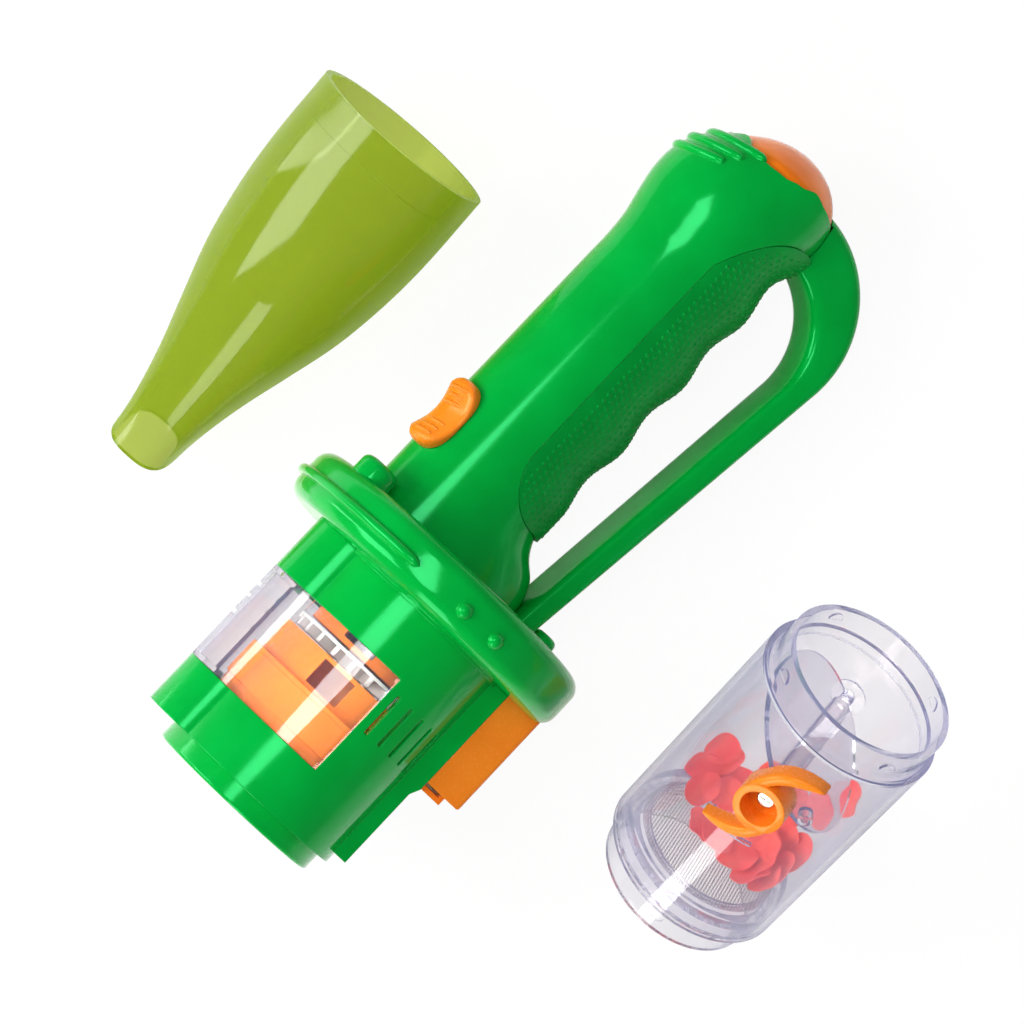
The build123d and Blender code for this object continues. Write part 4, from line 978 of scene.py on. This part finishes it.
@dataclass(frozen=True)
class Bumper:
    """Hollow rounded disc between housing and handle, with a ridge over its rim, four studs and two bosses."""

    radius: float = 52.5
    front_x: float = -41.2
    rear_x: float = -24.0
    edge: float = 5.0
    wall: float = 2.0
    hub: tuple = (-42.4, 32.5, 33.6)
    front_hole_r: float = 20.0
    rear_hole_r: float = 10.0
    ridge_x: float = -33.6
    ridge_half_deg: float = 62.0
    ridge_r: float = 1.55
    ridge_lift: float = 0.5
    stud_x: float = -34.0
    stud_degs: tuple = (-8.2, 6.1)
    stud_r: float = 2.4
    bosses: tuple = ((42.4, 13.5, 6.3, 6.0), (-36.0, 2.3, 4.2, 5.0))
    boss_rounding: tuple = ((0.0, 1.0), (0.62, 1.0), (0.74, 0.98), (0.85, 0.92), (0.94, 0.8), (0.99, 0.6), (1.0, 0.3))
    lobe: tuple = (26.8, 13.9)
    bay: tuple = (-25.9, -31.0, 17.7)
    screw: Pair = (-32.6, 43.0)

    def profile(self, inset: float) -> list[Pair]:
        """Rounded outline from the front face over the rim to the rear face."""
        corner = self.edge - inset
        front, rear, top = self.front_x + inset, self.rear_x - inset, self.radius - inset
        return (arc((front + corner, top - corner), corner, 180, 90, 10)
                + arc((rear - corner, top - corner), corner, 90, 0, 10))

    def build(self, palette: "Palette") -> None:
        """Makes the disc with all that stands on it."""
        outer = [(self.front_x, self.front_hole_r)] + self.profile(0.0) + [(self.rear_x, self.rear_hole_r)]
        inner = [(self.front_x + self.wall, self.front_hole_r)] + self.profile(self.wall)
        inner += [(self.rear_x - self.wall, self.rear_hole_r)]
        disc = solid("bumper_disc", lathe(outer + inner[::-1], 180), BODY)
        hub_x, low, high = self.hub
        hub = solid("hub", lathe([(hub_x, low), (hub_x, high), (self.front_x + 0.5, high), (self.front_x + 0.5, low)],
                                 144), BODY)
        room_y, room_r = self.lobe
        lobe = [[(x, room_y + r * math.cos(t), r * math.sin(t)) for t in (2 * math.pi * k / 72 for k in range(72))]
                for x, r in ((hub_x - 5, room_r), (self.front_x, room_r))]
        carve(hub, solid("lobe", skin(lobe), BODY))
        carve(disc, hub, "UNION")
        path, radii, normals = [], [], []
        for k in range(97):
            share = 2 * k / 96 - 1
            angle = math.radians(self.ridge_half_deg) * share
            out = Vector((0, math.cos(angle), math.sin(angle)))
            path.append(tuple(Vector((self.ridge_x, 0, 0)) + out * (self.radius + self.ridge_lift)))
            normals.append(out)
            radii.append(max(0.1, self.ridge_r * (1 - abs(share) ** 40) ** 0.5))
        carve(disc, solid("ridge", tube(path, radii, 20, normals), BODY), "UNION")
        for y, z, radius, length in self.bosses:
            path = [(self.rear_x - 1 + (length + 1) * share, y, z) for share, _ in self.boss_rounding]
            radii = [radius * size for _, size in self.boss_rounding]
            boss = tube(path, radii, 48, [Vector((0, 1, 0))] * len(path))
            carve(disc, solid("boss", boss, BODY), "UNION")
        bay_x, bay_y, half = self.bay
        cut = prism([(-60.0, bay_y), (bay_x, bay_y), (bay_x, -60.0), (-60.0, -60.0)], -half, half)
        carve(disc, solid("bay", cut, BODY))
        carve(disc, solid("screw_room", prism(arc(self.screw, 2.6, 0, 345, 23), -60.0, -7.9), BODY))
        for side in (1, -1):
            for degrees in self.stud_degs:
                turn = math.radians(90 + degrees)
                out = Vector((0, math.cos(turn), side * math.sin(turn)))
                centre = Vector((self.stud_x, 0, 0)) + out * (self.radius - 0.4)
                around = Vector((1, 0, 0)).cross(out)
                lay_on(disc, dome(centre, Vector((1, 0, 0)), around, out, self.stud_r, self.stud_r * 0.9, 32), BODY)
        settle(disc, Slot.GREEN_SHELL, Body.SUCTION, palette, ["bumper_near", "bumper_far"], 35.0)


# Nozzle
@dataclass(frozen=True)
class Nozzle:
    """Translucent lime funnel: round at the mouth, squared towards its oblique tip."""

    length: float = 130.0
    lead: float = 4.4
    wall: float = 1.6
    tip_r: float = 12.4
    mouth_r: float = 30.4
    socket_r: float = 28.2
    socket_len: float = 11.0
    radii: tuple = ((0.0, 0.0), (0.097, 0.056), (0.239, 0.247), (0.381, 0.50), (0.523, 0.744), (0.665, 0.911),
                    (0.803, 0.99), (1.0, 1.0))
    square_until: float = 74.0
    square_power: float = 0.3
    cut_x: float = 0.6
    cut_deg: float = 28.0
    offset: Point = (-1.6, 0.0, 0.4)

    def ring(self, x: float, inset: float) -> list[Point]:
        """One ring of the wall at a distance from the tip."""
        radius = self.tip_r + flowing(self.radii, x / self.length) * (self.mouth_r - self.tip_r) - inset
        power = 1 - self.square_power * eased(((0.0, 1.0), (self.square_until, 0.0)), x)
        row = []
        for k in range(144):
            turn = 2 * math.pi * k / 144
            c, s = math.cos(turn), math.sin(turn)
            y, z = math.copysign(abs(c) ** power, c), math.copysign(abs(s) ** power, s)
            fit = 1 - 0.16 * (1 - power) / self.square_power
            row.append((x - self.lead + self.offset[0], radius * fit * y + self.offset[1],
                        radius * fit * z + self.offset[2]))
        return row

    def build(self, palette: "Palette") -> None:
        """Makes the funnel."""
        stations = [self.length * k / 90 for k in range(91)]
        outer = [self.ring(x, 0.0) for x in stations]
        socket_x = self.length - self.socket_len
        inner = [self.ring(x, self.wall) for x in stations if x < socket_x]
        inner += [self.ring(socket_x, self.wall)]
        inner += [self.ring(x, self.mouth_r - self.socket_r) for x in (socket_x + 0.2, self.length)]
        funnel = solid("nozzle_funnel", skin(outer + inner[::-1], ring=True, loop=True), NOZZLE)
        slope = math.tan(math.radians(self.cut_deg))
        corners = [(self.cut_x - 40 * slope, 40.0), (self.cut_x + 40 * slope, -40.0), (-80.0, -40.0), (-80.0, 40.0)]
        wedge = skin([[(x, y, z) for x, z in corners] for y in (-40.0, 40.0)])
        carve(funnel, solid("tip_cut", wedge, NOZZLE))
        settle(funnel, Slot.LIME_CLEAR, Body.NOZZLE, palette, ["nozzle"], 40.0)


# Switch
@dataclass(frozen=True)
class Switch:
    """Thumb slider: a rounded pill with a dished top and three raised ribs at either end."""

    form: HandleForm = HandleForm()
    centre_x: float = 6.2
    half_len: float = 12.1
    half_width: float = 8.4
    height: float = 4.4
    dish: float = 2.6
    lift: float = 0.35
    rib_first: float = 3.6
    rib_pitch: float = 2.3
    ribs: int = 3
    rib_r: float = 0.5
    turn_deg: float = 14.0

    def top_height(self, x: float) -> float:
        """Height of the dished top above the handle at a distance along the slider."""
        share = min(1.0, abs(x) / (self.half_len * 0.72))
        return self.height - self.dish * (1 - share * share) ** 1.0

    def spot(self, x: float, across: float, height: float) -> Point:
        """Point over the handle at a distance along and across the slider."""
        top, bottom, depth = self.form.measures(0.0)
        angle = math.radians(self.turn_deg) + across / 20.4
        return self.form.point(self.centre_x + x, angle, height)

    def build(self, palette: "Palette") -> None:
        """Makes the slider with its ribs and stem."""
        rows, count = [], 72
        levels = ((1.0, 0.0), (1.0, 0.3), (0.995, 0.55), (0.97, 0.76), (0.925, 0.9), (0.86, 0.975), (0.76, 1.0),
                  (0.6, 1.0), (0.42, 1.0), (0.22, 1.0), (0.05, 1.0))
        for size, share in levels:
            row = []
            for k in range(count):
                turn = 2 * math.pi * k / count
                c, s = math.cos(turn), math.sin(turn)
                x = self.half_len * size * math.copysign(abs(c) ** 0.72, c)
                waist = 1 - 0.07 * (1 - min(1.0, abs(x) / self.half_len) ** 2)
                across = self.half_width * size * waist * math.copysign(abs(s) ** 0.8, s)
                row.append(self.spot(x, across, self.lift + (self.top_height(x) - self.lift) * share))
            rows.append(row)
        slider = solid("switch_slider_saddle", skin(rows), BODY)
        ribs = Blank([], [])
        for end in (-1, 1):
            for index in range(self.ribs):
                x = end * (self.rib_first + self.rib_pitch * index)
                path, radii, normals = [], [], []
                for k in range(13):
                    share = k / 6 - 1
                    path.append(self.spot(x + 0.5 * share, 4.6 * share, self.top_height(x) + 0.02))
                    normals.append(Vector(self.spot(x, 4.6 * share, 9.0)) - Vector(self.spot(x, 4.6 * share, 0.0)))
                    radii.append(max(0.06, self.rib_r * (1 - abs(share) ** 6) ** 0.5))
                ribs = ribs.joined(tube(path, radii, 12, normals))
        lay_on(slider, ribs, BODY)
        stem = prism([(self.centre_x - 3, 32.6), (self.centre_x + 3, 32.6), (self.centre_x + 3, 38.0),
                      (self.centre_x - 3, 38.0)], -1.7, 1.7)
        lay_on(slider, stem, BODY)
        settle(slider, Slot.ORANGE, Body.SWITCH, palette, ["switch_slider"], 50.0)


# Jar
@dataclass(frozen=True)
class Mesh:
    """Woven steel wire cloth clamped across the foot of the jar."""

    x: float = 18.4
    radius: float = 23.5
    pitch: float = 0.95
    wire_r: float = 0.17
    turn_deg: float = 4.0

    def build(self, palette: "Palette") -> None:
        """Makes warp and weft wires."""
        blank = Blank([], [])
        turn = math.radians(self.turn_deg)
        steps = int(self.radius / self.pitch)
        for family in (0, 1):
            for index in range(-steps, steps + 1):
                offset = index * self.pitch
                half = math.sqrt(max(0.0, self.radius**2 - offset**2))
                count = max(2, int(2 * half / (self.pitch / 2)))
                path = []
                for k in range(count + 1):
                    along = -half + 2 * half * k / count
                    side = math.cos(math.pi * (along / self.pitch + index + family))
                    a, b = (along, offset) if family else (offset, along)
                    path.append((
                        self.x + self.wire_r * side * (1 if family else 1),
                        a * math.cos(turn) - b * math.sin(turn),
                        a * math.sin(turn) + b * math.cos(turn),
                    ))
                blank = blank.joined(tube(path, [self.wire_r] * len(path), 4, [Vector((1, 0, 0))] * len(path)))
        cloth = solid("mesh_cloth_woven", blank, JAR)
        settle(cloth, Slot.MESH_STEEL, Body.JAR, palette, ["mesh_screen"], 60.0)


@dataclass(frozen=True)
class Petals:
    """Loose tissue petals, cupped and crumpled, heaped on the mesh and against the jar's lower wall."""

    spots: tuple = (
        (38.0, 17.8, -16.0, 0.1, 6.3), (29.0, 18.9, -14.8, 0.2, 5.8), (33.0, 14.8, -18.9, 0.2, 6.0),
        (27.0, 6.2, -22.5, 0.3, 6.4), (35.0, -2.0, -23.6, 0.1, 6.5), (37.0, -11.2, -20.6, 0.1, 6.4),
        (45.0, -17.8, -16.0, 0.1, 5.9), (61.0, -22.4, -10.3, 0.0, 5.8), (32.0, -21.6, -9.4, 0.2, 6.6),
        (30.0, -16.0, -13.0, 0.3, 6.2), (26.0, -6.0, -16.5, 0.4, 6.0), (27.0, -12.0, -8.0, 0.4, 6.4),
        (23.0, -3.0, -9.0, 0.6, 6.0), (22.8, 0.0, 2.0, 0.8, 6.2), (22.2, 6.5, 1.0, 0.8, 5.4),
        (23.5, -8.5, 1.5, 0.7, 6.3), (24.5, -14.8, 4.0, 0.5, 6.8), (25.0, -19.4, 1.5, 0.3, 6.3),
        (28.0, -15.0, -3.0, 0.3, 6.6), (24.0, 6.0, -17.5, 0.5, 6.0), (23.0, 14.0, -12.0, 0.5, 5.8),
        (29.5, -21.8, -3.0, 0.1, 6.0),
    )
    seed: int = 11
    thick: float = 0.25
    floor_x: float = 18.9
    upward: float = 0.35

    def petal(self, centre: Vector, facing: Vector, size: float, rng: random.Random) -> Blank:
        """One petal as a closed thin sheet."""
        facing = facing.normalized()
        across = facing.cross(Vector((rng.uniform(-1, 1), rng.uniform(-1, 1), rng.uniform(-1, 1)))).normalized()
        along = facing.cross(across)
        cup, fold, lean = rng.uniform(0.5, 1.7), rng.uniform(-1.0, 1.0), rng.uniform(0, 2 * math.pi)
        waves = [(rng.randint(2, 5), rng.uniform(0, 6.3), rng.uniform(0.15, 0.45)) for _ in range(3)]
        notch = rng.uniform(0, 2 * math.pi)
        steps, sheets = 40, ([], [])
        for level in (0.04, 0.25, 0.45, 0.65, 0.82, 0.94, 1.0):
            rows = ([], [])
            for k in range(steps):
                turn = 2 * math.pi * k / steps
                shape = 1 + 0.1 * math.cos(2 * (turn - lean)) - 0.09 * max(0.0, math.cos(turn - notch)) ** 12
                reach = size * level * shape
                lift = cup * level**2 + fold * level * math.cos(turn - lean) ** 2 * 0.9
                lift += level**2 * sum(a * math.cos(n * turn + p) for n, p, a in waves)
                here = centre + (across * math.cos(turn) + along * math.sin(turn)) * reach + facing * lift
                rows[0].append(here + facing * self.thick / 2)
                rows[1].append(here - facing * self.thick / 2)
            sheets[0].append(rows[0])
            sheets[1].append(rows[1])
        return skin([[tuple(p) for p in row] for row in sheets[0] + sheets[1][::-1]])

    def build(self, palette: "Palette") -> None:
        """Makes all petals as one heap."""
        rng = random.Random(self.seed)
        blank = Blank([], [])
        for x, y, z, lean, size in self.spots:
            inward = -Vector((0, y, z)).normalized() * (1 - lean)
            facing = (inward + Vector((lean, 0, self.upward * (1 - lean)))).normalized()
            x = max(x, self.floor_x + size * 1.1 * math.sqrt(1 - facing.x**2))
            blank = blank.joined(self.petal(Vector((x, y, z)), facing, size, rng))
        heap = solid("petals_crumpled", blank, JAR)
        settle(heap, Slot.RED_PAPER, Body.JAR, palette, ["petals"], 80.0)


@dataclass(frozen=True)
class Knob:
    """Orange valve knob: a cup-shaped hub with two swept wings that taper to a point."""

    valve_x: float = 74.6
    open_deg: float = 35.0
    base_z: float = 32.0
    hub_r: float = 8.0
    cup_r: float = 5.7
    height: float = 9.6
    floor: float = 2.4
    reach: float = 20.3
    lag_deg: float = 3.0

    def wing(self) -> Blank:
        """One wing, widest beside the hub and pointed at its tip."""
        stops = ((0.0, 6.6, 3.0), (4.0, 7.3, 3.0), (8.0, 7.4, 3.1), (12.0, 6.4, 3.2), (16.0, 4.1, 2.9), (19.0, 1.6, 1.7),
                 (20.3, 0.2, 0.35))
        middle = [(x, y) for x, y, _ in stops]
        widths = [(x, w) for x, _, w in stops]
        rows = []
        for k in range(25):
            x = self.reach * k / 24
            y, half = flowing(middle, x), flowing(widths, x) / 2 + 0.35
            low = self.base_z + 1.2
            high = self.base_z + self.height - 0.6 - 2.6 * (k / 24) ** 3
            ring = []
            for j in range(24):
                turn = 2 * math.pi * j / 24
                c, s = math.cos(turn), math.sin(turn)
                ring.append((
                    x,
                    y + half * math.copysign(abs(c) ** 0.45, c),
                    (low + high) / 2 + (high - low) / 2 * math.copysign(abs(s) ** 0.45, s),
                ))
            rows.append(ring)
        return skin(rows)

    def turned(self, blank: Blank, degrees: float) -> Blank:
        """Geometry turned about the knob's axis and moved to the valve."""
        c, s = math.cos(math.radians(degrees)), math.sin(math.radians(degrees))
        return Blank([(self.valve_x + x * c - y * s, x * s + y * c, z) for x, y, z in blank.points], blank.faces)

    def build(self, palette: "Palette") -> None:
        """Makes the knob."""
        top = self.base_z + self.height
        hub = prism(arc((0, 0), self.hub_r, 0, 355, 71), self.base_z, top)
        knob = solid("valve_knob_winged", self.turned(hub, 0), JAR)
        for side in (0, 180):
            wing = self.turned(self.wing(), side + self.lag_deg - self.open_deg)
            carve(knob, solid("wing", wing, JAR), "UNION")
        cup = prism(arc((0, 0), self.cup_r, 0, 355, 71), self.base_z + self.floor, top + 20)
        carve(knob, solid("cup", self.turned(cup, 0), JAR))
        bore = prism(arc((0, 0), 2.5, 0, 350, 35), self.base_z - 5, top + 20)
        carve(knob, solid("bore", self.turned(bore, 0), JAR))
        apply_modifier(knob, "BEVEL", {"width": 0.45 * MM, "segments": 3, "limit_method": "ANGLE",
                                       "angle_limit": math.radians(50)})
        settle(knob, Slot.ORANGE, Body.VALVE, palette, ["valve_knob"], 45.0)


# Studio
@dataclass
class Studio:
    """White table, soft lamps and the camera above it, as in a cut-out product photograph."""

    distance: float = 0.99
    tilt_deg: float = 6.5
    roll_deg: float = 46.8
    lens: float = 116.0
    sensor: float = 36.0
    floor_half: float = 30.0
    shade_share: float = 0.07
    gloss_share: float = 0.05
    ambient: float = 0.3
    aim: Point = (0.0, -1.2, 0.0)

    def background(self, tree: bpy.types.NodeTree) -> bpy.types.NodeSocket:
        """How much of the white background a ray sees: all for camera and transmission rays, a share for glossy ones."""
        path = add_node(tree, "ShaderNodeLightPath")
        sheen = add_node(
            tree, "ShaderNodeMath", {"operation": "MULTIPLY", 1: self.gloss_share}, {0: path.outputs["Is Glossy Ray"]}
        )
        total = add_node(
            tree, "ShaderNodeMath", {"operation": "MAXIMUM"}, {0: path.outputs["Is Camera Ray"], 1: sheen.outputs[0]}
        )
        return add_node(
            tree, "ShaderNodeMath", {"operation": "MAXIMUM"},
            {0: total.outputs[0], 1: path.outputs["Is Transmission Ray"]},
        ).outputs[0]

    def lay_floor(self) -> None:
        """White table top that keeps a light shadow of the object."""
        half = self.floor_half
        mesh = bpy.data.meshes.new("floor")
        mesh.from_pydata([(-half, -half, 0), (half, -half, 0), (half, half, 0), (-half, half, 0)], [], [(0, 1, 2, 3)])
        floor = bpy.data.objects.new("floor", mesh)
        bpy.context.scene.collection.objects.link(floor)
        floor.location.z = -0.0004
        material, tree = new_material("floor_paper_white")
        paper = add_node(tree, "ShaderNodeBsdfDiffuse", {"Color": linear("#FFFFFF")})
        white = add_node(tree, "ShaderNodeEmission", {"Color": linear("#FFFFFF"), "Strength": 1.0})
        share = add_node(
            tree, "ShaderNodeMath", {"operation": "MULTIPLY", 1: 1 - self.shade_share}, {0: self.background(tree)}
        )
        mixed = add_node(
            tree, "ShaderNodeMixShader", links={0: share.outputs[0], 1: paper.outputs[0], 2: white.outputs[0]}
        )
        output(tree, mixed)
        mesh.materials.append(material)

    def light_world(self) -> None:
        """White near the horizon and dimmer overhead, so that polished plastic keeps its deep colour."""
        world = bpy.data.worlds.new("studio")
        bpy.context.scene.world = world
        world.use_nodes = True
        tree = world.node_tree
        tree.nodes.clear()
        spot = add_node(tree, "ShaderNodeTexCoord")
        split = add_node(tree, "ShaderNodeSeparateXYZ", links={0: spot.outputs["Generated"]})
        path = add_node(tree, "ShaderNodeLightPath")
        height = add_node(
            tree, "ShaderNodeMapRange",
            {"interpolation_type": "SMOOTHSTEP", "From Min": 0.3, "From Max": 0.72, "To Min": 1.0, "To Max": 0.05},
            {"Value": split.outputs[2]},
        )
        through = add_node(
            tree, "ShaderNodeMath", {"operation": "MAXIMUM"},
            {0: path.outputs["Is Camera Ray"], 1: path.outputs["Is Transmission Ray"]},
        )
        bright = add_node(
            tree, "ShaderNodeMix", {"data_type": "FLOAT", 3: 1.0}, {0: through.outputs[0], 2: height.outputs[0]}
        )
        strength = add_node(
            tree, "ShaderNodeMix", {"data_type": "FLOAT", 2: self.ambient},
            {0: self.background(tree), 3: bright.outputs[0]}
        )
        sky = add_node(tree, "ShaderNodeBackground", {"Color": linear("#FFFFFF")}, {"Strength": strength.outputs[0]})
        add_node(tree, "ShaderNodeOutputWorld", links={"Surface": sky.outputs[0]})

    def hang_lamp(self, name: str, spot: Point, size: Pair, power: float, aim: Point = (0, 0, 0.03)) -> None:
        """Hangs one softbox.

        Args:
            name: name of the lamp.
            spot: its place in metres.
            size: its width and height in metres.
            power: its power in watts.
            aim: the point that it faces.
        """
        data = bpy.data.lights.new(name, "AREA")
        data.shape = "RECTANGLE"
        data.size, data.size_y = size
        data.energy = power
        lamp = bpy.data.objects.new(name, data)
        bpy.context.scene.collection.objects.link(lamp)
        lamp.location = spot
        lamp.rotation_euler = (Vector(aim) - Vector(spot)).to_track_quat("-Z", "Y").to_euler()

    def set_camera(self) -> None:
        """Camera almost straight above, turned so that the body lies across the picture's diagonal."""
        tilt, roll = math.radians(self.tilt_deg), math.radians(self.roll_deg)
        target = BODY.point(*self.aim)
        back = Vector((math.sin(tilt), 0, math.cos(tilt)))
        up = Vector((math.sin(roll), math.cos(roll), 0))
        right = up.cross(back).normalized()
        up = back.cross(right)
        turn = Matrix((right, up, back)).transposed().to_4x4()
        data = bpy.data.cameras.new("camera")
        data.lens, data.sensor_width = self.lens, self.sensor
        camera = bpy.data.objects.new("camera", data)
        bpy.context.scene.collection.objects.link(camera)
        camera.matrix_world = Matrix.Translation(target + back * self.distance) @ turn
        bpy.context.scene.camera = camera

    def build(self) -> None:
        """Sets the whole studio up."""
        bpy.context.scene.view_settings.view_transform = "Standard"
        self.lay_floor()
        self.light_world()
        self.set_camera()
        self.hang_lamp("softbox_key", (-0.3, 0.62, 0.66), (0.42, 0.5), 6.0)
        self.hang_lamp("softbox_top", (0.17, 0.2, 1.12), (0.28, 0.4), 3.6)
        self.hang_lamp("softbox_edge", (-0.2, 1.1, 0.32), (0.12, 1.0), 3)
        self.hang_lamp("softbox_left", (-0.95, -0.1, 0.6), (0.35, 0.7), 5)
        LOG.info("studio set up")


def main() -> None:
    """Builds the studio and dresses every piece."""
    logging.basicConfig(level=logging.INFO)
    palette = Palette.mixed()
    Studio().build()
    for node in frame["nodes"]:
        palette.dress(node)
        LOG.info("dressed %s", node)
    form, grip = HandleForm(), Grip()
    Handle(form).build(palette, grip)
    grip.build(palette, form)
    cap = EndCap()
    cap.build(palette)
    Guard().build(palette, form, cap)
    Bumper().build(palette)
    Nozzle().build(palette)
    Switch(form).build(palette)
    Mesh().build(palette)
    Petals().build(palette)
    Knob().build(palette)


if __name__ == "__main__":
    main()
